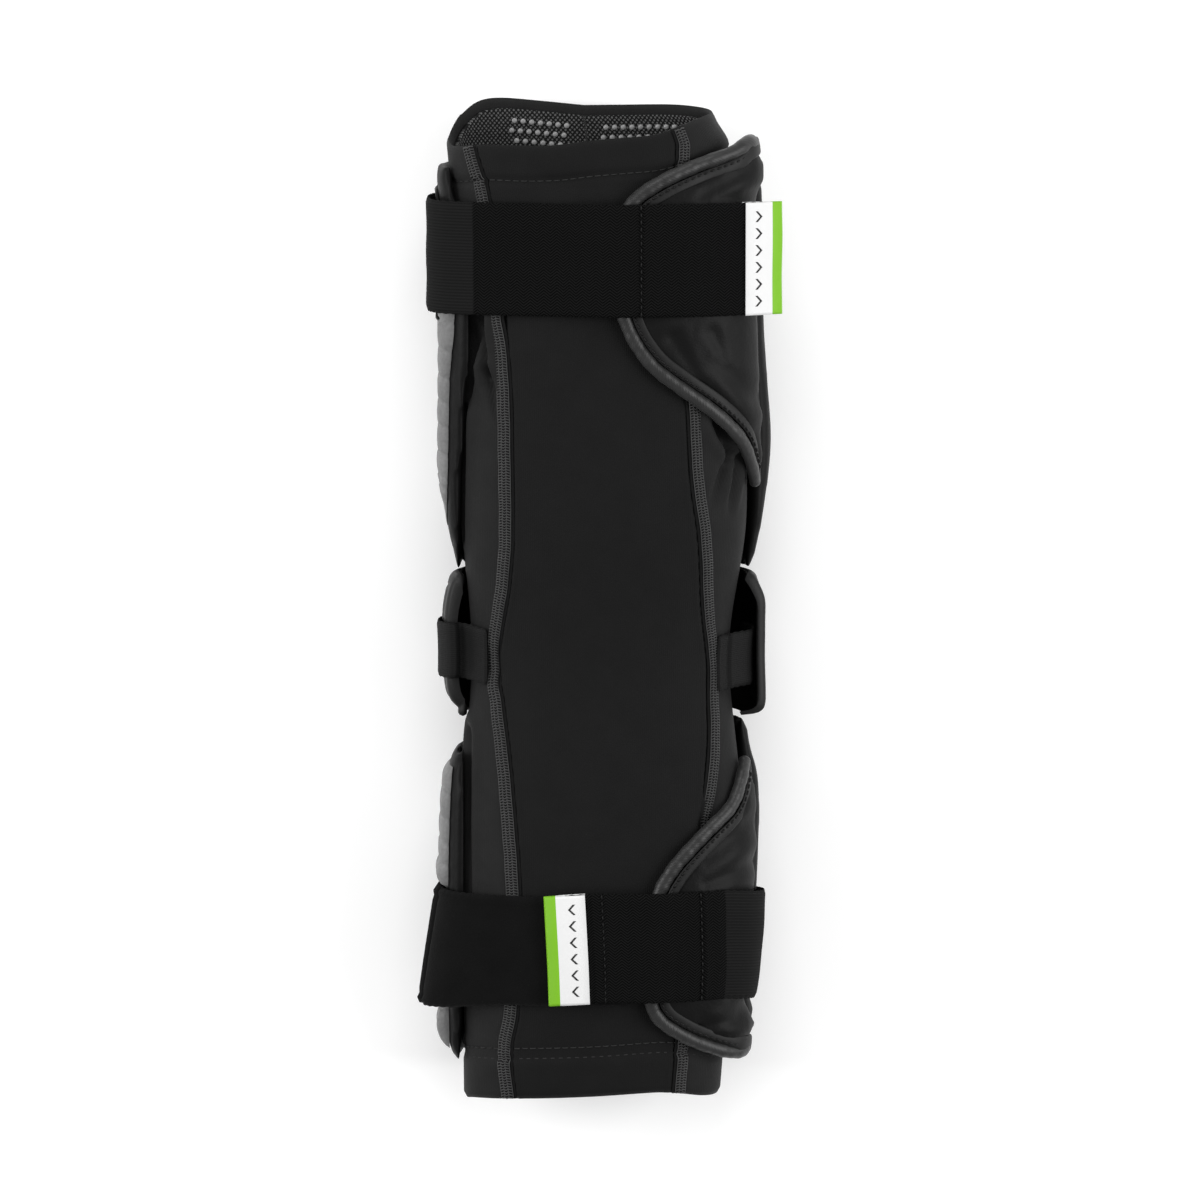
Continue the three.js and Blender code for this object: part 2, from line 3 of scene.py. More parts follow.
import bmesh
import bpy
import numpy as np
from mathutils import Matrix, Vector


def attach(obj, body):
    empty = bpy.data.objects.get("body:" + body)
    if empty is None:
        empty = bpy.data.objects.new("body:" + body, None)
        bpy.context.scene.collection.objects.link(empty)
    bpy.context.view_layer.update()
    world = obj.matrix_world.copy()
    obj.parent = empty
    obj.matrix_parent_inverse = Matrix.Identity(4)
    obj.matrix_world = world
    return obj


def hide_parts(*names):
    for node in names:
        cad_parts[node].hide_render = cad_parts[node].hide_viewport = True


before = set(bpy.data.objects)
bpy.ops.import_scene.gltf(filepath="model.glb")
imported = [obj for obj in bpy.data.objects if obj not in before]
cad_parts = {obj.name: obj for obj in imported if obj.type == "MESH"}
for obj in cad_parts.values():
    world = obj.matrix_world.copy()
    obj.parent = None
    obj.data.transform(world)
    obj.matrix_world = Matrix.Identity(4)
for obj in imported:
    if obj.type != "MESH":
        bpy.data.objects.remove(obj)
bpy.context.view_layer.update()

MM = 0.001

# Camera and studio
# The photo looks down on the soft inner side of the pad, from a little past the shoulder opening, so
# that the mesh lining shows. A long lens keeps both ends the same size.
CAMERA_TILT = math.radians(8)
CAMERA_DISTANCE = 2.6
PHOTO_WIDTH = 0.432
SENSOR_WIDTH = 36
LOOK_AT = Vector((0.0, 0.0015, 0.033))
FLOOR_SIZE = 6.0


def linear(hex_colour):
    """An sRGB hex colour as linear values for a shader."""
    parts = [int(hex_colour[k:k + 2], 16) / 255 for k in (1, 3, 5)]
    return [c / 12.92 if c < 0.04045 else ((c + 0.055) / 1.055) ** 2.4 for c in parts] + [1.0]


def add_node(tree, kind, settings=None, inputs=None):
    """Adds one node with its settings, values and links."""
    made = tree.nodes.new(kind)
    for name, value in (settings or {}).items():
        setattr(made, name, value)
    for name, value in (inputs or {}).items():
        if isinstance(value, bpy.types.NodeSocket):
            tree.links.new(value, made.inputs[name])
        else:
            made.inputs[name].default_value = value
    return made


class Look:
    """A material under work: its shader, the place that its textures are read at, and common nodes."""

    def __init__(self, name, roughness, space=None, sheen=0.0, specular=0.5):
        self.material = bpy.data.materials.new(name)
        self.material.use_nodes = True
        self.tree = self.material.node_tree
        self.shader = self.tree.nodes["Principled BSDF"]
        for socket, value in (("Roughness", roughness), ("Specular IOR Level", specular),
                              ("Sheen Weight", sheen), ("Sheen Roughness", 0.5), ("IOR", 1.5)):
            self.shader.inputs[socket].default_value = value
        self.relief = None
        if space:
            self.place = self.node("TexCoord").outputs[space]

    def node(self, kind, settings=None, inputs=None):
        return add_node(self.tree, "ShaderNode" + kind, settings, inputs)

    def texture(self, kind, scale, settings=None, **more):
        inputs = {"Vector": self.place, "Scale": scale, **more}
        return self.node("Tex" + kind, settings, inputs).outputs["Fac"]

    def maths(self, operation, *values):
        return self.node("Math", {"operation": operation}, dict(enumerate(values))).outputs["Value"]

    def between(self, value, **limits):
        named = {key.replace("_", " ").title(): limit for key, limit in limits.items()}
        return self.node("MapRange", None, {"Value": value, **named}).outputs["Result"]

    def mixed(self, factor, a, b, kind="RGBA"):
        return self.node("Mix", {"data_type": kind}, {"Factor": factor, "A": a, "B": b}).outputs["Result"]

    def tone(self, factor, dark, light, shade=None):
        """The base colour runs from one colour to another, and a shade may darken or lighten it."""
        colour = self.mixed(factor, linear(dark), linear(light))
        if shade is not None:
            scaled = self.node("VectorMath", {"operation": "SCALE"}, {"Vector": colour, "Scale": shade})
            colour = scaled.outputs["Vector"]
        self.tree.links.new(colour, self.shader.inputs["Base Color"])

    def bump(self, height, strength, distance):
        """Adds relief, over any relief that is there already."""
        inputs = {"Strength": strength, "Distance": distance, "Height": height}
        if self.relief is not None:
            inputs["Normal"] = self.relief
        self.relief = self.node("Bump", None, inputs).outputs["Normal"]
        self.tree.links.new(self.relief, self.shader.inputs["Normal"])


def placed(name, data):
    """An object in the scene, at the origin."""
    made = bpy.data.objects.new(name, data)
    bpy.context.scene.collection.objects.link(made)
    return made


camera_data = bpy.data.cameras.new("camera")
camera_data.sensor_width = SENSOR_WIDTH
camera_data.lens = SENSOR_WIDTH * CAMERA_DISTANCE / PHOTO_WIDTH
camera_data.clip_end = 20
camera = placed("camera", camera_data)
camera.location = LOOK_AT + CAMERA_DISTANCE * Vector((0, math.sin(CAMERA_TILT), math.cos(CAMERA_TILT)))
camera.rotation_euler = (-CAMERA_TILT, 0, 0)
bpy.context.scene.camera = camera

for lamp_name, place, size, power in (
    ("left_softbox", (-1.5, 0.3, 1.1), 1.2, 26),
    ("right_softbox", (1.5, 0.1, 1.1), 1.2, 26),
    ("top_softbox", (0.0, 1.6, 1.3), 1.0, 14),
):
    lamp_data = bpy.data.lights.new(lamp_name, "AREA")
    lamp_data.size = size
    lamp_data.energy = power
    lamp = placed(lamp_name, lamp_data)
    lamp.location = place
    lamp.rotation_euler = (Vector((0, 0, 0.03)) - lamp.location).to_track_quat("-Z", "Y").to_euler()
world = bpy.data.worlds.new("studio_air")
world.use_nodes = True
world.node_tree.nodes["Background"].inputs["Color"].default_value = linear("#FFFFFF")
world.node_tree.nodes["Background"].inputs["Strength"].default_value = 0.42
bpy.context.scene.world = world
bpy.context.scene.view_settings.view_transform = "Standard"

paper = Look("matt_paper_sweep", 0.9)
for socket, value in (("Base Color", linear("#F7F7F7")), ("Emission Color", linear("#FFFFFF")),
                      ("Emission Strength", 0.12)):
    paper.shader.inputs[socket].default_value = value
floor_mesh = bpy.data.meshes.new("floor")
half_floor = FLOOR_SIZE / 2
floor_corners = [(x * half_floor, y * half_floor, 0) for x, y in ((-1, -1), (1, -1), (1, 1), (-1, 1))]
floor_mesh.from_pydata(floor_corners, [], [(0, 1, 2, 3)])
floor_mesh.materials.append(paper.material)
floor = placed("floor", floor_mesh)

# Sleeve
# A compression sleeve of black nylon and elastane knit, cut as a front panel and two side panels that
# are sewn with flatlock seams. The cuff and the shoulder opening have a turned hem.
LENGTH = 353.0
WIDTH = 100.0
HEIGHT = 50.0
ROUNDNESS = 2.5
SLEEVE_WALL = 1.6
STACK = 13.4           # foam and shell panel under the sleeve
UNDERSIDE_FLAT = 1.2
TOP_HEM = 12.5
CUFF_HEM = 15.0
RIM_BAND = 2.2
CUFF_ROWS_APART = 3.8
OPENING_PULL = 4.0     # how far the shoulder opening's right side is drawn in
FLOOR_GAP = 0.05
GIRTH = 130.0          # mean half girth
CLOTH_SCALE = np.array([GIRTH, LENGTH])
FRONT_PANEL_HEIGHT = 35.0

SECTIONS = np.array([  # along the length, half width, half height, sideways shift, as shares
    (-0.5, 0.462, 0.45, -0.03), (-0.44, 0.472, 0.47, -0.022), (-0.35, 0.495, 0.5, -0.005),
    (-0.2, 0.502, 0.5, 0.004), (-0.05, 0.463, 0.465, 0.0), (0.09, 0.512, 0.5, 0.015),
    (0.22, 0.508, 0.5, 0.008), (0.36, 0.5, 0.5, 0.0), (0.44, 0.5, 0.5, -0.03), (0.5, 0.498, 0.49, -0.056)])

# Creases: along the length and round the girth, both ends of each, its half width and depth in mm, and
# how much of it is lost at its end
FOLDS = (
    {"start": (0.300, -0.368), "end": (0.170, -0.434), "wide": 3.0, "deep": 4.8, "fade": 0.95},
    {"start": (0.300, -0.353), "end": (0.244, -0.330), "wide": 1.9, "deep": 4.2, "fade": 0.25},
    {"start": (0.244, -0.330), "end": (0.190, -0.294), "wide": 1.6, "deep": 3.1, "fade": 1.0},
    {"start": (0.20, -0.435), "end": (0.07, -0.450), "wide": 2.2, "deep": 3.2, "fade": 0.7},
    {"start": (-0.13, -0.44), "end": (-0.30, -0.40), "wide": 2.4, "deep": 3.4, "fade": 0.6},
    {"start": (0.194, 0.344), "end": (0.160, 0.366), "wide": 2.8, "deep": 4.8, "fade": 0.3},
    {"start": (0.160, 0.366), "end": (0.100, 0.295), "wide": 2.0, "deep": 3.4, "fade": 1.0},
    {"start": (0.155, 0.401), "end": (0.095, 0.362), "wide": 2.1, "deep": 3.9, "fade": 1.0},
    {"start": (-0.215, 0.31), "end": (-0.16, 0.36), "wide": 3.0, "deep": 1.8, "fade": 1.0},
    {"start": (0.435, -0.12), "end": (0.437, 0.16), "wide": 4.0, "deep": 0.9, "fade": 1.0},
    {"start": (-0.06, -0.34), "end": (-0.02, -0.36), "wide": 3.0, "deep": 1.0, "fade": 1.0},
)
GIRTH_STEPS = 400
ALONG_STEP = 1.0


def column(table, at, place):
    """A smooth curve through one column of a table, read at many places."""
    x = table[:, 0]
    y = table[:, place]
    slope = np.empty(len(x))
    slope[1:-1] = (y[2:] - y[:-2]) / (x[2:] - x[:-2])
    slope[0] = (y[1] - y[0]) / (x[1] - x[0])
    slope[-1] = (y[-1] - y[-2]) / (x[-1] - x[-2])
    value = np.clip(at, x[0], x[-1])
    row = np.clip(np.searchsorted(x, value, side="right") - 1, 0, len(x) - 2)
    span = x[row + 1] - x[row]
    t = (value - x[row]) / span
    back = 1 - t
    return (y[row] * (1 + 2 * t) * back ** 2 + slope[row] * span * t * back ** 2
            + y[row + 1] * t * t * (3 - 2 * t) - slope[row + 1] * span * t * t * back)


def rounded(angle, wide, high):
    """A point of the superelliptic section, from the top at 0 to the underside at pi."""
    power = 2 / ROUNDNESS
    c, s = np.sin(angle), np.cos(angle)
    return wide * np.sign(c) * np.abs(c) ** power, high * np.sign(s) * np.abs(s) ** power


section_places = np.arange(-LENGTH / 2 - 2, LENGTH / 2 + 2.5, ALONG_STEP)
section_wide = column(SECTIONS, section_places / LENGTH, 1) * WIDTH
section_high = column(SECTIONS, section_places / LENGTH, 2) * HEIGHT
section_shift = column(SECTIONS, section_places / LENGTH, 3) * WIDTH
girth_angles = np.zeros((len(section_places), GIRTH_STEPS + 1))
half_girth = np.zeros(len(section_places))
fine_angles = np.linspace(0, math.pi, 1200)


def run_along(points):
    """The distance from the first point to each point of a line."""
    return np.concatenate([[0], np.cumsum(np.linalg.norm(np.diff(points, axis=0), axis=1))])


for k, (wide_here, high_here) in enumerate(zip(section_wide, section_high)):
    run = run_along(np.stack(rounded(fine_angles, wide_here, high_here), -1))
    half_girth[k] = run[-1]
    girth_angles[k] = np.interp(np.linspace(0, run[-1], GIRTH_STEPS + 1), run, fine_angles)


def smoothstep(t):
    t = np.clip(t, 0, 1)
    return t * t * (3 - 2 * t)


def bell(away, wide):
    """A smooth bump of height 1, from a distance to its middle and its half width."""
    return np.exp(-(away / wide) ** 2)


def rolled_edge(distance, radius):
    """From 0 at an edge to 1 at a radius from it, round as a stuffed edge is."""
    near = np.clip(distance / radius, 0, 1)
    return np.sqrt(np.clip(1 - (1 - near) ** 2, 0, 1))


def to_edge(u, width):
    """The distance to the nearer edge, from a share of the width."""
    return np.minimum(u, 1 - u) * width


def signed(share):
    """A share round the girth as a value from -1 on the left to 1 on the right."""
    share = np.asarray(share, float)
    return np.where(share > 1, share - 2, share)


def unit(vectors):
    return vectors / np.maximum(np.linalg.norm(vectors, axis=-1, keepdims=True), 1e-9)


def around(share, y, offset):
    """Points at a share round the half girth, a place along the arm and an offset from the sleeve, in mm."""
    share, y, offset = np.broadcast_arrays(*(np.asarray(v, float) for v in (share, y, offset)))
    turn = signed(share)
    row = np.clip((y - section_places[0]) / ALONG_STEP, 0, len(section_places) - 1.001)
    low = row.astype(int)
    part = row - low
    place = np.clip(np.abs(turn), 0, 1) * GIRTH_STEPS
    cell = np.clip(place.astype(int), 0, GIRTH_STEPS - 1)
    inside = place - cell
    below = girth_angles[low, cell] * (1 - inside) + girth_angles[low, cell + 1] * inside
    above = girth_angles[low + 1, cell] * (1 - inside) + girth_angles[low + 1, cell + 1] * inside
    angle = below * (1 - part) + above * part
    wide, high, shift = (table[low] * (1 - part) + table[low + 1] * part
                         for table in (section_wide, section_high, section_shift))
    x, z = rounded(angle, wide + offset, high + offset)
    side = np.where(turn < 0, -1.0, 1.0)
    x = x - OPENING_PULL * smoothstep((y - 166) / 11) * (turn > 0) * np.clip(x / wide, 0, 1) ** 2
    height = np.maximum(np.maximum(STACK - UNDERSIDE_FLAT + high + z, STACK - offset), FLOOR_GAP)
    return np.stack([shift + side * x, y, height], -1)


def on_cloth(share, y, offset):
    """Points round the sleeve, and their places in a pattern in mm."""
    return around(share, y, offset), np.stack([share * half_at(y), y], -1)

def half_at(y):
    """Half the girth of the sleeve at a place along the arm, in mm."""
    return np.interp(y, section_places, half_girth)


def share_at(x, y):
    """The share round the half girth of the sleeve's upper side where X has a value."""
    shares = np.linspace(-0.5, 0.5, 401)
    return float(np.interp(x, around(shares, y, 0)[:, 0], shares))


def from_segment(x, y, start, end):
    """How far along a segment places are, from 0 to 1, and their distances from it."""
    flow = end - start
    t = np.clip(((x - start[0]) * flow[0] + (y - start[1]) * flow[1]) / (flow @ flow), 0, 1)
    return t, np.hypot(x - start[0] - t * flow[0], y - start[1] - t * flow[1])


def crease_depth(share, y):
    """How deep the creases press the cloth in, in mm."""
    across = signed(share) * half_at(y)
    deep = np.zeros(np.broadcast(share, y).shape)
    for fold in FOLDS:
        start, end = (np.array([s * half_at(along * LENGTH), along * LENGTH])
                      for along, s in (fold["start"], fold["end"]))
        t, away = from_segment(across, y, start, end)
        near = away / (fold["wide"] * (1.1 - 0.5 * t))
        deep = deep + fold["deep"] * (1 - fold["fade"] * t) * (bell(near, 1) - 0.35 * bell(near - 2, 1))
    return deep


def waves(a, b, seeds):
    """Slow uneven waves of the cloth, from a few sines with fixed phases, about -1 to 1."""
    total = 0
    for k, (fa, fb, phase) in enumerate(seeds):
        total = total + np.sin(a * fa + b * fb + phase) / (k + 1.5)
    return total


CLOTH_WAVES = ((0.05, 0.031, 0.4), (-0.083, 0.052, 2.1), (0.11, -0.067, 4.0), (0.17, 0.12, 1.2))


def make_object(name, points, faces, material, uv=None, smooth=True):
    """A mesh object from points in mm; uv holds a pair for each point, in mm too."""
    mesh = bpy.data.meshes.new(name)
    mesh.from_pydata((np.asarray(points) * MM).tolist(), [], faces)
    if uv is not None:
        layer = mesh.uv_layers.new(name="pattern")
        corner = np.zeros(len(mesh.loops), np.int32)
        mesh.loops.foreach_get("vertex_index", corner)
        layer.data.foreach_set("uv", np.asarray(uv, np.float32)[corner].ravel())
    mesh.materials.append(material)
    mesh.validate()
    if smooth:
        mesh.shade_smooth()
    return placed(name, mesh)


def face_outwards(made):
    """Turns the faces of a closed mesh outwards."""
    work = bmesh.new()
    work.from_mesh(made.data)
    bmesh.ops.recalc_face_normals(work, faces=work.faces)
    if work.calc_volume(signed=True) < 0:
        bmesh.ops.reverse_faces(work, faces=work.faces)
    work.to_mesh(made.data)
    work.free()


def grid_shell(name, place, rows, columns, material, ring=False, lip=0):
    """A closed wall from an outer and an inner grid. place(v, u, side) gives points and pattern places;
    side is 1 outside and 0 inside, and lip adds rows between them that round the edge."""
    v, u = np.meshgrid(np.linspace(0, 1, rows + 1), np.linspace(0, 1, columns + 1), indexing="ij")
    if ring:
        v, u = v[:, :-1], u[:, :-1]
    wide = u.shape[1]
    count = v.size
    patches = [place(v, u, side) for side in (1.0, 0.0)]
    faces = []
    for i in range(rows):
        for j in range(wide if ring else wide - 1):
            a, b = i * wide + j, i * wide + (j + 1) % wide
            faces.append((a, b, b + wide, a + wide))
            faces.append((count + a, count + a + wide, count + b + wide, count + b))
    first_row, last_row = list(range(wide)), [rows * wide + j for j in range(wide)]
    left = [i * wide for i in range(rows + 1)]
    right = [k + wide - 1 for k in left]
    loops = [first_row, last_row] if ring else [first_row[:-1] + right[:-1] + last_row[:0:-1] + left[:0:-1]]
    base = 2 * count
    for loop in loops:
        rings = [loop]
        for side in np.linspace(1, 0, 2 + lip)[1:-1]:
            patches.append(place(v.ravel()[loop], u.ravel()[loop], side))
            rings.append(list(range(base, base + len(loop))))
            base += len(loop)
        rings.append([k + count for k in loop])
        for near, far in zip(rings, rings[1:]):
            faces += [(near[k], far[k], far[k + 1 - len(loop)], near[k + 1 - len(loop)])
                      for k in range(len(loop))]
    points, uv = (np.concatenate([patch[k].reshape(-1, 3 - k) for patch in patches]) for k in (0, 1))
    made = make_object(name, points, faces, material, uv)
    face_outwards(made)
    return made


def finish_piece(made, slot, *nodes):
    """The piece rides on the one body and stands for its solids; its slot is not used."""
    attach(made, "root")
    if nodes:
        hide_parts(*nodes)


# Stretch knit: fine wales along the arm, dull, with a soft sheen where the cloth turns away
knit = Look("nylon_elastane_knit", 0.72, "UV", sheen=0.03, specular=0.12)
mottle = knit.texture("Noise", 0.09, Detail=4.0, Roughness=0.6)
side_panel = knit.node("Attribute", {"attribute_name": "side_panel"}).outputs["Fac"]
knit_shade = knit.between(mottle, from_min=0.3, from_max=0.7, to_min=0.86, to_max=1.14)
knit.tone(side_panel, "#0D0D0D", "#191919", knit_shade)
wales = knit.texture("Wave", 0.42, {"bands_direction": "X"}, Distortion=0.6, Detail=1.0)
knit.bump(knit.maths("MULTIPLY_ADD", wales, 0.35, knit.texture("Noise", 1.6, Detail=3.0)), 0.28, 0.0004)

SEAM_WIDTH, RIGHT_SEAM_WIDTH = 5.0, 4.2
LEFT_SEAM = (  # centre line of the seam seen from above: across and along the arm, in mm
    (-46.5, 168.5), (-45.4, 163.8), (-42.5, 153.6), (-38.0, 127.0), (-36.2, 104.5), (-34.4, 84.1),
    (-33.8, 65.6), (-33.8, 28.2), (-35.1, 9.6), (-36.2, 2.0), (-37.8, -8.2), (-38.7, -19.1), (-37.1, -33.7),
    (-34.7, -53.7), (-33.3, -70.0), (-31.3, -98.4), (-31.2, -122.0), (-32.4, -146.4), (-34.4, -157.7),
    (-34.0, -167.0), (-32.8, -176.3))
RIGHT_SEAM = (
    (29.2, 167.6), (29.2, 163.0), (29.6, 140.0), (31.0, 110.0), (33.3, 77.6), (35.1, 47.1), (37.6, 28.2),
    (38.5, 4.9), (39.2, -4.2), (40.0, -11.8), (40.7, -20.2), (40.7, -30.0), (41.0, -44.6), (39.8, -62.8),
    (39.2, -70.0), (38.2, -81.0), (35.5, -110.0), (32.0, -140.0), (29.9, -157.7), (28.3, -176.3))


def seam_shares(seam):
    """The seam's centre as places along the arm and shares round it, from the cuff up."""
    return np.array(sorted((y, share_at(x, y)) for x, y in seam))


left_seam, right_seam = seam_shares(LEFT_SEAM), seam_shares(RIGHT_SEAM)


RIM = np.array([  # the shoulder opening's edge: place round the half girth and along the arm in mm
    (-1.0, 178.4), (-0.85, 180.2), (-0.74, 181.2), (-0.68, 180.0), (-0.62, 175.5), (-0.56, 170.2),
    (-0.5, 167.6), (-0.42, 166.2), (-0.3, 167.4), (-0.2, 167.3), (-0.1, 167.5), (0.0, 169.0), (0.1, 170.1),
    (0.2, 171.2), (0.3, 174.4), (0.4, 177.0), (0.5, 177.5), (0.7, 178.8), (0.85, 178.6), (1.0, 178.4)])


def rim_y(share):
    """The shoulder opening is lower at the front than at the back, and wavy."""
    return column(RIM, signed(share), 1)


CUFF = np.array([
    (-1.0, -176.0), (-0.6, -177.5), (-0.5, -178.8), (-0.45, -179.3), (-0.4, -178.4), (-0.29, -177.4),
    (-0.2, -176.8), (0.0, -175.8), (0.2, -174.6), (0.28, -175.4), (0.36, -177.0), (0.42, -177.6),
    (0.5, -177.4), (0.6, -176.8), (1.0, -176.0)])


def cuff_y(share):
    """The cuff's edge is a little wavy too."""
    return column(CUFF, signed(share), 1)


def hem_relief(share, y):
    """Turned hems are a little thicker, with a groove at their stitch lines."""
    top = rim_y(share) - TOP_HEM - y
    low = y - (cuff_y(share) + CUFF_HEM)
    relief = 0.45 * smoothstep(-top / 1.2) + 0.45 * smoothstep(-low / 1.2)
    relief = relief - 0.6 * bell(top, 0.9) - 0.6 * bell(low, 0.9)
    return relief - 0.3 * bell(low - CUFF_ROWS_APART, 0.8)


def soft_relief(share, y):
    """The hems, creases and slow waves of the cloth, without the grooves beside the seams."""
    across = signed(share) * half_at(y)
    return hem_relief(share, y) - crease_depth(share, y) + 0.28 * waves(across, y, CLOTH_WAVES)


def sleeve_relief(share, y):
    turn, half = signed(share), half_at(y)
    relief = soft_relief(share, y)
    for seam, step in ((left_seam, 1), (right_seam, -1)):
        away = (turn - column(seam, y, 1)) * half
        relief = relief - 0.85 * bell(away - step * (SEAM_WIDTH / 2 + 0.3), 0.55)
        relief = relief + 0.25 * bell(away - step * (SEAM_WIDTH / 2 + 1.6), 1.0)
    return np.where(np.abs(turn) < 0.62, relief, np.minimum(relief, 0.1))


def sleeve_place(v, u, side):
    share = 2 * u
    y = cuff_y(share) + v * (rim_y(share) - cuff_y(share))
    relief = sleeve_relief(share, y)
    pinch = 0.5 * SLEEVE_WALL * (1 - rolled_edge(to_edge(v, LENGTH), 1.6))
    offset = np.where(side > 0.5, relief - pinch, relief * 0.6 - SLEEVE_WALL + pinch)
    return around(share, y, offset), np.stack([signed(share) * half_at(y), y], -1)


def values_of(items, name, width):
    """One value of every vertex or corner of a mesh, as rows."""
    values = np.zeros(len(items) * width)
    items.foreach_get(name, values)
    return values.reshape(-1, width)


sleeve = grid_shell("sleeve_cloth", sleeve_place, 220, 300, knit.material, ring=True)
panel_mask = sleeve.data.attributes.new("side_panel", "FLOAT", "POINT")
x, y, z = values_of(sleeve.data.vertices, "co", 3).T / MM
left_line, right_line = (np.interp(y, *np.array(seam)[::-1, ::-1].T) for seam in (LEFT_SEAM, RIGHT_SEAM))
in_middle = (x > left_line) & (x < right_line) & (z > FRONT_PANEL_HEIGHT)
panel_mask.data.foreach_set("value", np.where(in_middle, 0.0, 1.0).astype(np.float32))
finish_piece(sleeve, "sleeve_knit", "sleeve")


# Flatlock seams
# Two raised seams join the sleeve's panels. Each is a flat ladder of grey polyester thread over a black
# base, with cross threads about every millimetre.
THREAD_PITCH = 1.0
THREAD_LINES = (-2.15, -0.75, 0.75, 2.15)

# Spun thread: dull and grey, with a fuzzy mottle
thread = Look("spun_polyester_thread", 0.62, "Object", sheen=0.05, specular=0.3)
thread.tone(thread.texture("Noise", 420.0, Detail=5.0, Roughness=0.8), "#1C1C1C", "#444444")


def on_surface(shares, ys, lift):
    """Points on the sleeve's form and the directions that point away from it."""
    round_way = around(shares + 0.004, ys, lift) - around(shares - 0.004, ys, lift)
    along_way = around(shares, ys + 0.5, lift) - around(shares, ys - 0.5, lift)
    return around(shares, ys, lift), unit(np.cross(round_way, along_way))


def tube_faces(stations, sides):
    """The faces between closed rings of points."""
    rings = [[i * sides + j for j in range(sides)] for i in range(stations)]
    return [(near[j], near[(j + 1) % sides], far[(j + 1) % sides], far[j])
            for near, far in zip(rings, rings[1:]) for j in range(sides)]


def swept(name, centres, outs, profile, material):
    """A closed body along a run of centres in mm. The profile is a ring of (across, up) pairs in mm,
    one ring for all stations or one for each."""
    centres, outs = np.asarray(centres, float), np.asarray(outs, float)
    flow = unit(np.gradient(centres, axis=0))
    across = unit(np.cross(flow, outs))
    up = np.cross(across, flow)
    profile = np.broadcast_to(np.asarray(profile, float), (len(centres),) + np.shape(profile)[-2:])
    points = centres[:, None] + across[:, None] * profile[..., :1] + up[:, None] * profile[..., 1:]
    n, k = points.shape[:2]
    faces = tube_faces(n, k)
    faces += [tuple(range(k)), tuple((n - 1) * k + j for j in range(k))]
    places = np.broadcast_arrays(run_along(profile[n // 2])[None, :], run_along(centres)[:, None])
    made = make_object(name, points.reshape(-1, 3), faces, material, np.stack(places, -1).reshape(-1, 2))
    face_outwards(made)
    return made


def oval(wide, high, sides, lift=0.0, power=1.0):
    """A ring of an oval profile, lifted from the path."""
    turn = np.linspace(0, 2 * math.pi, sides, endpoint=False)
    c, s = np.cos(turn), np.sin(turn)
    return np.stack([wide / 2 * np.sign(c) * np.abs(c) ** power,
                     lift + high / 2 * np.sign(s) * np.abs(s) ** power], -1)


def joined(name, objects):
    """One piece from several meshes that share their materials."""
    work = bmesh.new()
    materials = []
    for made in objects:
        start = len(work.faces)
        work.from_mesh(made.data)
        work.faces.ensure_lookup_table()
        kept = list(made.data.materials)
        materials += [m for m in kept if m not in materials]
        for face in work.faces[start:]:
            face.material_index = materials.index(kept[min(face.material_index, len(kept) - 1)])
    mesh = bpy.data.meshes.new(name)
    work.to_mesh(mesh)
    work.free()
    for m in materials:
        mesh.materials.append(m)
    for made in objects:
        bpy.data.objects.remove(made, do_unlink=True)
    mesh.shade_smooth()
    return placed(name, mesh)


def evaluated(made):
    """The mesh of an object with its modifiers applied."""
    graph = bpy.context.evaluated_depsgraph_get()
    return bpy.data.meshes.new_from_object(made.evaluated_get(graph), depsgraph=graph)


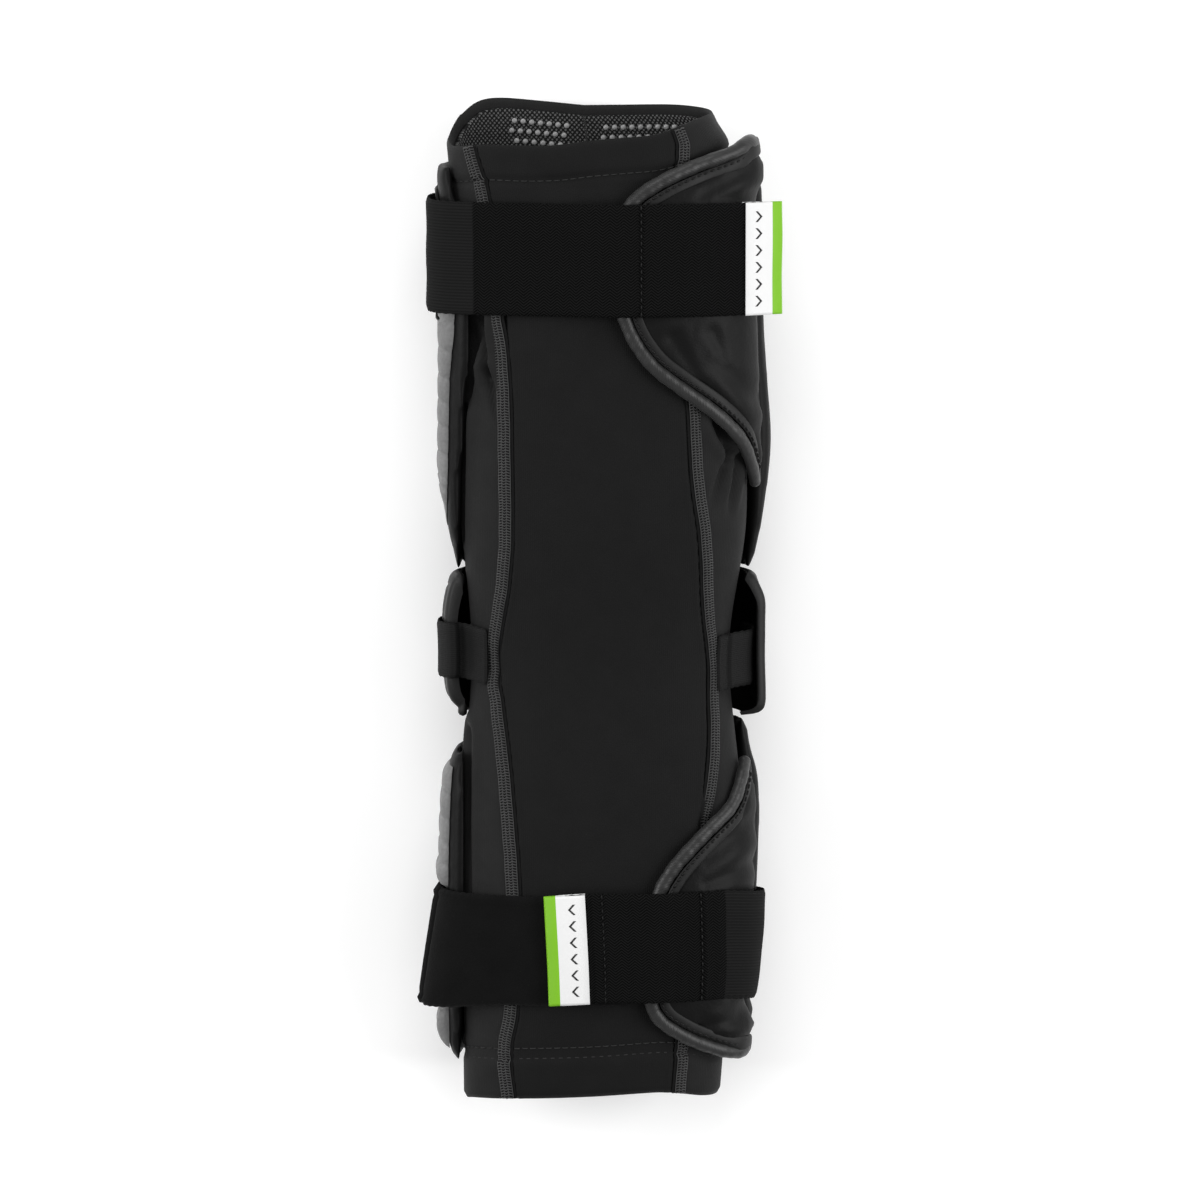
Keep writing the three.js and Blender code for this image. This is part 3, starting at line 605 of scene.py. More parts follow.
def sewn_along(name, paths, pitch, stitch, material):
    """Repeats one small shape along paths on the cloth. Each path is its points and outward directions."""
    points = np.concatenate([p for p, _ in paths])
    outs = np.concatenate([o for _, o in paths])
    edges, start = [], 0
    for p, _ in paths:
        edges += [(start + k, start + k + 1) for k in range(len(p) - 1)]
        start += len(p)
    mesh = bpy.data.meshes.new(name + "_path")
    mesh.from_pydata((points * MM).tolist(), edges, [])
    direction = mesh.attributes.new("out", "FLOAT_VECTOR", "POINT")
    direction.data.foreach_set("vector", outs.astype(np.float32).ravel())
    carrier = placed(name + "_path", mesh)
    tree = bpy.data.node_groups.new(name + "_row", "GeometryNodeTree")
    sockets = {label: tree.interface.new_socket(label, in_out="INPUT", socket_type="NodeSocket" + kind)
               for label, kind in (("Geometry", "Geometry"), ("Pitch", "Float"), ("Stitch", "Object"),
                                   ("Thread", "Material"))}
    tree.interface.new_socket("Geometry", in_out="OUTPUT", socket_type="NodeSocketGeometry")
    given = add_node(tree, "NodeGroupInput").outputs
    curve = add_node(tree, "GeometryNodeMeshToCurve", None, {"Mesh": given["Geometry"]})
    even = add_node(tree, "GeometryNodeResampleCurve", {"mode": "LENGTH"},
                    {"Curve": curve.outputs["Curve"], "Length": given["Pitch"]})
    flow = add_node(tree, "GeometryNodeInputTangent")
    out = add_node(tree, "GeometryNodeInputNamedAttribute", {"data_type": "FLOAT_VECTOR"}, {"Name": "out"})
    along = add_node(tree, "FunctionNodeAlignRotationToVector", {"axis": "X"},
                     {"Vector": flow.outputs["Tangent"]})
    turned = add_node(tree, "FunctionNodeAlignRotationToVector", {"axis": "Z", "pivot_axis": "X"},
                      {"Rotation": along.outputs["Rotation"], "Vector": out.outputs["Attribute"]})
    shape = add_node(tree, "GeometryNodeObjectInfo", None, {"Object": given["Stitch"]})
    rows = add_node(tree, "GeometryNodeInstanceOnPoints", None,
                    {"Points": even.outputs["Curve"], "Instance": shape.outputs["Geometry"],
                     "Rotation": turned.outputs["Rotation"]})
    real = add_node(tree, "GeometryNodeRealizeInstances", None, {"Geometry": rows.outputs["Instances"]})
    done = add_node(tree, "GeometryNodeSetMaterial", None,
                    {"Geometry": real.outputs["Geometry"], "Material": given["Thread"]})
    add_node(tree, "NodeGroupOutput", None, {"Geometry": done.outputs["Geometry"]})
    modifier = carrier.modifiers.new("sewing", "NODES")
    modifier.node_group = tree
    for label, value in (("Pitch", pitch * MM), ("Stitch", stitch), ("Thread", material)):
        modifier[sockets[label].identifier] = value
    sewn = evaluated(carrier)
    sewn.name = name
    for spent in (carrier, stitch):
        bpy.data.objects.remove(spent, do_unlink=True)
    sewn.shade_smooth()
    return placed(name, sewn)


def thread_shape(name, paths, radius, sides=5):
    """A small stitch: tubes of thread lying on the cloth, X along the row and Z outwards, in mm."""
    up = [0.0, 0.0, 1.0]
    ring = oval(2 * radius, 2 * radius, sides)
    return joined(name, [swept(name, path, [up] * len(path), ring, thread.material) for path in paths])


# Seam tape: a dull black base under the threads, with a woven grain; the painted shadow strip beside each
# seam uses it too
seam_base = Look("flatlock_seam_tape", 0.85, "UV", specular=0.1)
seam_grain = seam_base.texture("Noise", 1.4, Detail=3.0)
seam_base.tone(seam_grain, "#090909", "#141414")
seam_base.bump(seam_grain, 0.4, 0.0003)

for side_name, seam, wide, inward in (
    ("left", left_seam, SEAM_WIDTH, 1),
    ("right", right_seam, RIGHT_SEAM_WIDTH, -1),
):
    ends = [column(seam, seam[k][0], 1) for k in (0, -1)]
    ys = np.linspace(cuff_y(ends[0]) + 0.4, rim_y(ends[1]) - 0.8, 340)
    shares = column(seam, ys, 1)
    lift = soft_relief(shares, ys)
    bulge = 0.9 + 0.12 * np.sin(ys * 0.45)
    profile = np.array([oval(wide, 1.5 * b, 14, -0.1, 0.75) for b in bulge])
    base = swept("flatlock_seam_" + side_name, *on_surface(shares, ys, lift), profile, seam_base.material)
    narrowed = wide / SEAM_WIDTH
    lines = []
    for line in THREAD_LINES:
        edge_drop = 0.28 * (line / THREAD_LINES[-1]) ** 2
        at = on_surface(shares + line * narrowed / half_at(ys), ys, lift + 0.6 * bulge - edge_drop)
        lines.append(swept("seam_thread", *at, oval(0.42, 0.4, 5), thread.material))
    rung = thread_shape("seam_rung", [
        [(0.0, THREAD_LINES[0] * narrowed, -0.28), (0.3, THREAD_LINES[1] * narrowed, 0.06), (-0.12, 0.0, 0.1),
         (0.3, THREAD_LINES[2] * narrowed, 0.06), (0.0, THREAD_LINES[3] * narrowed, -0.28)]], 0.25)
    rung_path = on_surface(shares, ys, lift + 0.6 * bulge)
    rungs = sewn_along("seam_rungs_" + side_name, [rung_path], THREAD_PITCH, rung, thread.material)
    ladder = joined("flatlock_threads_" + side_name, lines + [rungs])
    # Painted shadow: a thin black strip of the seam tape lies beside the seam's edge, to darken the groove
    # where the panel's edge shades it
    beside = shares + (wide / 2 + 0.35) * inward / half_at(ys)
    at = on_surface(beside, ys, lift - 0.15)
    seam_shadow_strip = swept("seam_edge_cord", *at, oval(1.1, 0.7, 8), seam_base.material)
    finish_piece(joined("flatlock_seam_" + side_name, [base, seam_shadow_strip]), "sleeve_knit")
    finish_piece(ladder, "sleeve_knit")

# Hem stitching
# The turned hems are held by rows of small running stitches: one below the shoulder opening and two at
# the cuff.
HEM_PITCH = 2.9


def dash(name, length, radius):
    """One running stitch that dips into the cloth at both ends."""
    return thread_shape(name, [[(-length / 2, 0, -radius), (-length / 4, 0, 0.6 * radius),
                                (length / 4, 0, 0.6 * radius), (length / 2, 0, -radius)]], radius)


# Textured thread of the hems: darker than the seams' and dull
hem_thread = Look("textured_nylon_thread", 0.7, "Object", specular=0.15)
hem_thread.tone(hem_thread.texture("Noise", 700.0), "#1C1C1C", "#323232")
hem_paths = []
for edge_y, at in ((rim_y, -TOP_HEM), (cuff_y, CUFF_HEM), (cuff_y, CUFF_HEM + CUFF_ROWS_APART)):
    shares = np.linspace(-0.98, 0.98, 300)
    ys = edge_y(shares) + at
    hem_paths.append(on_surface(shares, ys, sleeve_relief(shares, ys) + 0.2))
hem_stitches = sewn_along("hem_stitches", hem_paths, HEM_PITCH, dash("hem_dash", 2.1, 0.24),
                          hem_thread.material)
finish_piece(hem_stitches, "sleeve_knit")

# Mesh lining
# A band of open warp-knit mesh inside the shoulder opening, with plain dots of grip silicone where it
# touches the arm.
LINING_WIDTH, LINING_AT = 27.0, 155.0
LINING_WALL = 1.1
CLEARANCE = 0.4
GRIP_FIELDS = ((1.22, 1.06), (0.94, 0.72))  # from and to, as places round the half girth

# Warp-knit mesh: small black holes in a grey net that runs slantwise
mesh_knit = Look("open_warp_knit_mesh", 0.8, "UV", specular=0.15)
mesh_knit.place = mesh_knit.node("Mapping", None, {
    "Vector": mesh_knit.place, "Rotation": (0.0, 0.0, math.radians(45))}).outputs["Vector"]
holes = mesh_knit.node("TexVoronoi", {"feature": "F1", "distance": "EUCLIDEAN"},
                       {"Vector": mesh_knit.place, "Scale": 0.8, "Randomness": 0.15})
hole_edge = mesh_knit.between(holes.outputs["Distance"], from_min=0.24, from_max=0.42)
mesh_knit.tone(hole_edge, "#565656", "#0C0C0C")
mesh_knit.bump(hole_edge, 0.6, 0.0005)


def lining_place(v, u, side):
    share = 2 * u
    y = rim_y(share) - RIM_BAND - 1.5 - LINING_WIDTH * (1 - v)
    offset = -SLEEVE_WALL - CLEARANCE - (1 - side) * LINING_WALL - crease_depth(share, y) * 0.6
    return around(share, y, offset), np.stack([signed(share) * half_at(y), y], -1)


lining = grid_shell("mesh_lining_band", lining_place, 30, 260, mesh_knit.material, ring=True)
finish_piece(lining, "lining_mesh", "mesh_lining")

# Grip silicone: grey dots with a soft gloss
grip = Look("grip_silicone", 0.35, "Object", specular=0.6)
grip.tone(grip.texture("Noise", 260.0), "#7A7A7A", "#8E8E8E")
dot_paths = []
for start, end in GRIP_FIELDS:
    for row in range(3):
        shares = np.linspace(start, end, 40) + 0.012 * (row % 2)
        p, o = on_surface(shares, rim_y(shares) - 8.0 - 3.6 * row, -SLEEVE_WALL - CLEARANCE - LINING_WALL)
        dot_paths.append((p, -o))
dot = swept("grip_dot", [(0, 0, -0.3), (0, 0, 0.25), (0, 0, 0.5), (0, 0, 0.56)],
            [(1, 0, 0)] * 4, np.array([oval(w, w, 10) for w in (2.1, 2.0, 1.3, 0.3)]), grip.material)
grip_dots = sewn_along("grip_dots", dot_paths, 3.1, dot, grip.material)
finish_piece(grip_dots, "lining_mesh")
2 * float(half_at(LINING_AT)) * MM

# Foam pads
# Two wraps of closed-cell foam in a smooth satin cover, glued round the back of the sleeve above and
# below the elbow. Their edges are rolled.
PAD_UNDER, PAD_LEFT, PAD_RIGHT = 9.0, 5.0, 7.0
PAD_RIGHT_EDGE = 0.5
UNDERSIDE_EVEN = 0.15
UPPER_PAD = (0.036, 0.456)
LOWER_PAD = (-0.474, -0.136)
PAD_SWELL = 0.8
CLOTH_FRAMES = 20
PAD_LEFT_LINE = np.array([  # place along the arm in mm, place round the half girth
    (-167.0, 1.57), (-140.0, 1.60), (-60.0, 1.61), (-48.0, 1.58), (13.0, 1.56), (30.0, 1.585),
    (55.0, 1.607), (100.0, 1.64), (161.0, 1.60)])
PAD_RIGHT_FULL = np.array([  # place along the arm in mm, and how full the pad is beside the arm
    (-168.0, 0.4), (-164.0, 0.7), (-160.0, 1.1), (-156.0, 1.4), (-149.0, 1.5), (-142.0, 1.05),
    (-100.0, 1.0), (-66.0, 1.04), (-60.0, 0.98), (-55.0, 0.78), (-49.0, 0.67), (-44.0, 0.64), (-40.0, 0.35),
    (10.5, 0.3), (13.0, 0.45), (17.0, 0.6), (24.7, 0.72), (39.7, 1.0), (53.0, 1.3), (64.0, 1.42),
    (80.0, 1.32), (104.0, 1.15), (127.0, 1.2), (147.0, 1.5), (155.0, 1.5), (160.0, 1.25), (163.0, 1.0)])
PAD_LEFT_FULL = np.array([
    (-168.0, 0.25), (-166.0, 0.4), (-162.7, 0.85), (-160.0, 1.0), (-60.0, 1.0), (-54.0, 0.8), (-48.0, 0.35),
    (12.7, 0.4), (16.0, 0.5), (22.0, 0.66), (27.0, 0.82), (33.5, 1.0), (163.0, 1.0)])

# Satin cover: smooth and near black, with a faint mottle and slack creases
satin = Look("satin_pad_cover", 0.48, "Object", specular=0.1)
satin_mottle = satin.texture("Noise", 70.0, Detail=4.0)
satin.tone(satin_mottle, "#090909", "#111111")
satin.bump(satin.texture("Noise", 1400.0), 0.25, 0.0003)
satin.bump(satin_mottle, 0.3, 0.002)


def under_to_side(share):
    """From 0 under the arm to 1 beside it, and the share as a value from 0 to 2."""
    turn = np.where(np.asarray(share, float) < 0, np.asarray(share, float) + 2, share)
    return np.minimum(np.maximum(np.abs(turn - 1) - UNDERSIDE_EVEN, 0) / (0.5 - UNDERSIDE_EVEN), 1) ** 2, turn


def layered(share, right, under, left):
    """The thickness of a layer: one value under the arm, one on each side."""
    sideways, turn = under_to_side(share)
    return under + (np.where(turn < 1, right, left) - under) * smoothstep(sideways)


def pad_wall(share):
    return layered(share, PAD_RIGHT, PAD_UNDER, PAD_LEFT)


def stuffed(made, voxel, cap, material):
    """Swells a remeshed cover with pressure, by a cloth simulation, and never more than the cap in mm."""
    remesh = made.modifiers.new("remesh", "REMESH")
    remesh.mode = "VOXEL"
    remesh.voxel_size = voxel * MM
    cover = evaluated(made)
    made.modifiers.remove(remesh)
    made.data = cover
    start = values_of(cover.vertices, "co", 3)
    cloth = made.modifiers.new("cloth", "CLOTH")
    cloth.settings.quality = 4
    cloth.settings.mass = 0.2
    cloth.settings.use_pressure = True
    cloth.settings.uniform_pressure_force = 4
    cloth.settings.effector_weights.gravity = 0
    cloth.point_cache.frame_start = 1
    cloth.point_cache.frame_end = CLOTH_FRAMES
    for frame_number in range(1, CLOTH_FRAMES + 1):
        bpy.context.scene.frame_set(frame_number)
    swollen = evaluated(made)
    move = values_of(swollen.vertices, "co", 3) - start
    bpy.data.meshes.remove(swollen)
    made.modifiers.remove(cloth)
    bpy.context.scene.frame_set(1)
    length = np.linalg.norm(move, axis=1, keepdims=True)
    move *= np.minimum(1, cap * MM / np.maximum(length, 1e-9))
    cover.vertices.foreach_set("co", (start + move).ravel())
    smooth = made.modifiers.new("smooth", "SMOOTH")
    smooth.factor = 0.5
    smooth.iterations = 4
    finer = made.modifiers.new("finer", "SUBSURF")
    finer.levels = finer.render_levels = 1
    finished = evaluated(made)
    made.modifiers.clear()
    made.data = finished
    finished.materials.clear()
    finished.materials.append(material)
    finished.shade_smooth()


def foam_pad(name, stretch, elbow_way, right_reach, left_reach, node):
    """A pad between two shares of the length. At its elbow end it reaches further beside the arm, by mm."""
    length = (stretch[1] - stretch[0]) * LENGTH

    def place(v, u, side):
        y = stretch[0] * LENGTH + 1.0 + (length - 2.0) * v
        left_edge = column(PAD_LEFT_LINE, y, 1)
        share = PAD_RIGHT_EDGE + 0.006 + (left_edge - PAD_RIGHT_EDGE - 0.012) * u
        reach = right_reach * smoothstep((0.8 - share) / 0.22) + left_reach * smoothstep((share - 1.3) / 0.18)
        y = y + elbow_way * reach * (v if elbow_way > 0 else 1 - v) ** 3
        ends, edges = rolled_edge(to_edge(v, length), 7.0), rolled_edge(to_edge(u, GIRTH), 6.0)
        full = 0.55 + 0.45 * np.minimum(ends, edges)
        right = column(PAD_RIGHT_FULL, y, 1) - 1
        left = column(PAD_LEFT_FULL, y, 1) - 1
        thick = (pad_wall(share) - 2 * PAD_SWELL + 0.6) * (
            1 + right * smoothstep((0.8 - share) / 0.18) + left * smoothstep((share - 1.3) / 0.15))
        low = 1.0 + 0.25 * thick * (1 - full)
        return on_cloth(share, y, np.where(side > 0.5, low + thick * full, low))

    pad = grid_shell(name, place, int(length / 2.5), 60, satin.material, lip=1)
    stuffed(pad, 2.3, PAD_SWELL, satin.material)
    finish_piece(pad, "pad_cloth", node)


foam_pad("upper_foam_pad", UPPER_PAD, -1, 2.2, 2.2, "upper_pad")
foam_pad("lower_foam_pad", LOWER_PAD, 1, 9.3, 0.0, "lower_pad")

# Shell panels
# Light grey panels of coated cloth over stiff foam on the outer side, quilted in channels across the
# arm, so that the shell bends with it.
PLATE_UNDER, PLATE_SIDE = 3.6, 2.2
PLATE_RIGHT_EDGE = 0.66
PLATE_ROUND = 108      # width round the arm, near enough for its edges
PLATE_LEFT_LINE = np.array([
    (-165.0, 1.53), (-143.0, 1.54), (-101.0, 1.56), (-57.0, 1.565), (28.0, 1.52), (34.0, 1.535),
    (43.0, 1.552), (55.0, 1.562), (83.0, 1.575), (104.0, 1.597), (145.0, 1.585)])
PLATE_LEFT_FULL = np.array([  # place along the arm in mm, and how full the panel is on the left
    (-162.0, 0.3), (-158.0, 1.3), (-152.0, 1.7), (-145.0, 1.2), (-101.0, 1.1), (-96.0, 1.3), (-90.0, 1.0),
    (-62.0, 0.9), (-56.0, 0.3), (28.0, 0.05), (33.5, 0.12), (38.0, 0.45), (43.0, 0.85), (50.0, 1.1),
    (120.0, 1.1), (130.0, 0.8), (140.0, 0.2)])
UPPER_CREASES = (37.0, 43.6, 47.2, 55.6, 65.8, 74.5, 83.2, 93.0, 103.5, 113.0, 123.0, 132.0)
LOWER_CREASES = (-93.0, -85.0, -76.5, -67.0)
CUFF_CREASES = (-147.0,)

# Coated cloth: light grey and matt, with fine specks and worn patches
coated = Look("coated_quilted_cloth", 0.55, "Object", specular=0.3)
speckle = coated.texture("Noise", 900.0, Detail=3.0)
speck_shade = coated.between(speckle, from_min=0.3, from_max=0.7, to_min=0.88, to_max=1.1)
coated.tone(coated.texture("Noise", 60.0, Detail=3.0), "#585858", "#7A7A7A", speck_shade)
coated.bump(speckle, 0.35, 0.0004)


def plate_wall(share):
    return layered(share, PLATE_SIDE, PLATE_UNDER, PLATE_SIDE)


def on_pad(share):
    """The lift of what lies on the foam pads."""
    return CLEARANCE + pad_wall(share) + CLEARANCE


def shell_plate(name, stretch, creases, node):
    """A quilted panel between two shares of the length, with its creases in mm along the arm."""
    length = (stretch[1] - stretch[0]) * LENGTH
    bounds = np.array([stretch[0] * LENGTH, *creases, stretch[1] * LENGTH])

    def place(v, u, side):
        y = stretch[0] * LENGTH + length * v
        left_edge = column(PLATE_LEFT_LINE, y, 1)
        share = PLATE_RIGHT_EDGE + (left_edge - PLATE_RIGHT_EDGE) * u
        across = (share - PLATE_RIGHT_EDGE) * GIRTH
        sway = 0.8 * np.sin(across * 0.09 + 1.0) + 0.5 * np.sin(across * 0.23)
        at = y + sway * smoothstep((1 - u) / 0.06)
        channel = np.clip(np.searchsorted(bounds, at, side="right") - 1, 0, len(bounds) - 2)
        wide = bounds[channel + 1] - bounds[channel]
        inside = np.clip((at - bounds[channel]) / wide, 0, 1)
        taut = 0.75 + 0.25 * np.sin(channel * 2.3 + across * 0.05)
        groove = 0.9 * taut * bell(to_edge(inside, wide), 0.6)
        puff = 0.5 * np.sin(inside * math.pi) * np.minimum(wide / 9, 1)
        lumps = 0.3 * waves(across * 1.3, y * 1.6, CLOTH_WAVES)
        full = np.minimum(rolled_edge(to_edge(v, length), 3.0), rolled_edge(to_edge(u, PLATE_ROUND), 3.0))
        left = smoothstep((share - 1.3) / 0.15)
        thick = (plate_wall(share) - groove + puff * 0.7 + lumps) * (0.35 + 0.65 * full)
        thick = np.maximum(thick * (1 + (column(PLATE_LEFT_FULL, y, 1) - 1) * left), 0.25)
        share = share - (0.003 * groove - 0.002 * puff) * smoothstep((u - 0.9) / 0.1)
        thinner = smoothstep((share - 1.3) / 0.15) * (1 - column(PAD_LEFT_FULL, y, 1))
        sunk = CLEARANCE + pad_wall(share) * thinner
        return on_cloth(share, y, on_pad(share) - sunk + np.where(side > 0.5, thick, 0.0))

    plate = grid_shell(name, place, int(length * 1.1), 150, coated.material, lip=1)
    finish_piece(plate, "shell_panel", node)


shell_plate("upper_shell_panel", (0.084, 0.396), UPPER_CREASES, "upper_plate")
shell_plate("lower_shell_panel", (-0.286, -0.162), LOWER_CREASES, "lower_plate")
shell_plate("cuff_shell_panel", (-0.457, -0.405), CUFF_CREASES, "cuff_plate")

# Elbow cap and pad
# A bowl of moulded polyethylene that stands off the sleeve, with a rolled rim, over a small foam pad.
CAP_STANDOFF, CAP_SHIFT, CAP_END_DEPTH, CAP_WALL = 11.4, 1.6, 7.0, 2.6
CAP_RIGHT_EDGE, CAP_LEFT_EDGE = 0.47, 1.548
CAP_LOW_CORNER, CAP_TOP_CORNER = 1.5, 2.5
CAP_LEFT_CURL, CAP_RIGHT_CURL = 3.4, 0.8
ELBOW_CAP = (-0.112, 0.035)
CAP_ROUND, CAP_LEAST = 140, 3.4  # its width round the arm, and its least lift
CAP_LEFT_LOSS = np.array([  # share of the cap's length from its cuff end, and how much shallower it is, in mm
    (0.0, 9.6), (0.029, 8.2), (0.048, 6.1), (0.089, 3.4), (0.14, 1.7), (0.208, 0.7), (0.3, 0.15),
    (0.4, 0.0), (0.655, 0.0), (0.79, 1.1), (0.93, 3.6), (1.0, 6.5)])
CAP_RIGHT_LOSS = np.array([
    (0.0, 8.0), (0.012, 4.6), (0.03, 2.6), (0.06, 1.2), (0.12, 0.4), (0.3, 0.0), (0.52, 0.3), (0.67, 1.1),
    (0.815, 2.4), (0.92, 5.4), (1.0, 8.5)])
ELBOW_PAD = (-0.092, -0.006)
ELBOW_PAD_SIZE = (30, 78)  # along and round the arm

# Moulded polyethylene: a satin black shell with fine grain and uneven wear in its gloss
moulded = Look("moulded_polyethylene", 0.5, "Object", specular=0.22)
moulded_wear = moulded.texture("Noise", 45.0, Detail=5.0)
moulded.tone(moulded_wear, "#0A0A0A", "#131313")
moulded_gloss = moulded.between(moulded_wear, to_min=0.42, to_max=0.6)
moulded.tree.links.new(moulded_gloss, moulded.shader.inputs["Roughness"])
moulded.bump(moulded.texture("Noise", 1100.0), 0.2, 0.0003)


def cap_middle(share):
    """How far the cap's outer face lies from the sleeve along its middle, in mm."""
    sideways, turn = under_to_side(share)
    side = CAP_STANDOFF + np.sign(1 - turn) * CAP_SHIFT
    return STACK + (side - STACK) * sideways


def cap_depth(v, share):
    """The same anywhere on the cap, which gets shallower towards its ends."""
    v, share = np.broadcast_arrays(np.asarray(v, float), np.asarray(share, float))
    end = np.maximum(np.abs(2 * v - 1) - 0.35, 0) / 0.65
    under = CAP_END_DEPTH * end ** 2.5
    side = np.where(share < 1, column(CAP_RIGHT_LOSS, v, 1), column(CAP_LEFT_LOSS, v, 1))
    sideways = smoothstep((np.abs(share - 1) - 0.2) / 0.25)
    return np.maximum(cap_middle(share) - under * (1 - sideways) - side * sideways, CAP_LEAST)


def cap_place(v, u, side):
    share = CAP_RIGHT_EDGE + (CAP_LEFT_EDGE - CAP_RIGHT_EDGE) * u
    length = (ELBOW_CAP[1] - ELBOW_CAP[0]) * LENGTH
    from_side = to_edge(u, CAP_ROUND)
    low, top = (radius * (1 - rolled_edge(from_side, radius)) for radius in (CAP_LOW_CORNER, CAP_TOP_CORNER))
    y = ELBOW_CAP[0] * LENGTH + low + v * (length - low - top)
    edge = np.minimum(to_edge(v, length), from_side)
    rim = 0.5 * bell(edge - 1.6, 1.5) - 0.35 * bell(edge - 5.5, 0.7)
    trimmed = 0.5 * CAP_WALL * (1 - rolled_edge(edge, 1.2))
    curl = np.where(share > 1, CAP_LEFT_CURL, CAP_RIGHT_CURL) * (1 - rolled_edge(from_side, 8.0))
    middle = np.maximum(cap_depth(v, share) - curl, CAP_LEAST)
    outer = middle + rim * smoothstep((np.abs(share - 1) - 0.25) / 0.1) - trimmed
    return on_cloth(share, y, np.where(side > 0.5, outer, middle - CAP_WALL + trimmed))


cap = grid_shell("elbow_cap_shell", cap_place, 100, 190, moulded.material, lip=2)
finish_piece(cap, "cap_shell", "elbow_cap")


def elbow_pad_place(v, u, side):
    share = 0.7 + 0.6 * u
    along = ELBOW_PAD[0] + (ELBOW_PAD[1] - ELBOW_PAD[0]) * v
    in_cap = (along - ELBOW_CAP[0]) / (ELBOW_CAP[1] - ELBOW_CAP[0])
    ends, edges = (rolled_edge(to_edge(at, size), 4.0) for at, size in zip((v, u), ELBOW_PAD_SIZE))
    full = np.minimum(ends, edges)
    thick = cap_depth(in_cap, share) - CAP_WALL - 1.5 * CLEARANCE - 1.6
    low = 1.0 + 0.2 * thick * (1 - full)
    offset = np.where(side > 0.5, low + thick * (0.4 + 0.6 * full) - 0.6, low)
    return around(share, along * LENGTH, offset), np.stack([share * GIRTH, along * LENGTH], -1)


elbow_foam = grid_shell("elbow_foam_pad", elbow_pad_place, 16, 40, satin.material, lip=1)
stuffed(elbow_foam, 2.6, 0.5, satin.material)
finish_piece(elbow_foam, "pad_cloth", "elbow_pad")

# Padded flaps
# A flap of thin foam in the satin cover folds over each end of the sleeve's front from the right. It is
# sewn to the pad's edge, and the straps hold it down.
FLAP_LIFT = 0.8
FLAP_EDGE = 3.4
BINDING_WIDTH, BINDING_HEIGHT = 5.4, 4.4
FLAP_ROOT = 0.487
UPPER_FLAP = np.array([
    (0.465, 0.473), (0.42, 0.472), (0.375, 0.465), (0.24, 0.447), (0.165, 0.434), (0.11, 0.42),
    (0.06, 0.395), (0.045, 0.36), (0.05, 0.32), (0.068, 0.295), (0.095, 0.274), (0.14, 0.252),
    (0.21, 0.231), (0.3, 0.206), (0.38, 0.178), (0.425, 0.153), (0.465, 0.126)])
LOWER_FLAP = np.array([
    (0.465, -0.155), (0.42, -0.173), (0.37, -0.198), (0.3, -0.219), (0.24, -0.24), (0.19, -0.262),
    (0.155, -0.29), (0.145, -0.34), (0.15, -0.39), (0.18, -0.414), (0.25, -0.432), (0.33, -0.446),
    (0.4, -0.455), (0.465, -0.453)])
FLAP_CREASES = (  # from and to, across and along the arm, half width and depth, in mm
    (54, 62, 36, 82, 3.4, 1.3), (56, 76, 42, 90, 3.0, 0.7), (26, 99, 34, 86, 2.4, 0.7),
    (40, 101, 44, 92, 2.0, 0.6), (52, 158, 36, 150, 2.6, 0.8), (55, 150, 42, 148, 2.0, 0.5),
    (53, -78, 38, -88, 3.0, 1.1), (55, -92, 38, -97, 2.4, 0.8), (48, -70, 40, -76, 2.0, 0.7),
    (50, -148, 36, -150, 2.2, 0.7))


def flap_stand(share, y):
    """How far the flap's outer corners stand off the arm, in mm."""
    upper = 6.0 * smoothstep((y - 138) / 22)
    lower = 5.0 * smoothstep((-140 - y) / 14)
    return (upper + lower) * smoothstep((share - 0.28) / 0.17)


def path_through(table, count):
    """Evenly spaced places along a smooth line through a table of pairs."""
    knots = np.column_stack([np.arange(len(table), dtype=float), table])
    fine = np.linspace(0, len(table) - 1, 600)
    line = np.stack([column(knots, fine, k) for k in (1, 2)], -1)
    run = run_along(line * CLOTH_SCALE)
    even = np.linspace(0, run[-1], count)
    return np.stack([np.interp(even, run, line[:, k]) for k in (0, 1)], -1)


def beside_line(line, distance):
    """A line that runs at a distance in mm to the left of another, both in shares."""
    step = unit(np.gradient(line, axis=0) * CLOTH_SCALE)
    return line + np.stack([-step[:, 1] * distance, step[:, 0] * distance], -1) / CLOTH_SCALE


def pressed(made, creases):
    """Presses creases into the outer face of a piece, and leaves its inner face."""
    mesh = made.data
    points, normals = (values_of(mesh.vertices, name, 3) for name in ("co", "normal"))
    x, y = points[:, 0] / MM, points[:, 1] / MM
    depth = 0
    for x0, y0, x1, y1, wide, deep in creases:
        t, away = from_segment(x, y, np.array([x0, y0], float), np.array([x1, y1], float))
        away = away / (wide * (1.15 - 0.5 * t))
        depth = depth + deep * (1 - 0.6 * t) * (bell(away, 1) - 0.4 * bell(away - 2, 1))
    outer = np.clip(normals[:, 2] * 1.4 + np.abs(normals[:, 0]) * 0.9, 0, 1) * (normals[:, 2] > -0.05)
    points -= normals * (depth * outer)[:, None] * MM
    mesh.vertices.foreach_set("co", points.ravel())
    mesh.update()


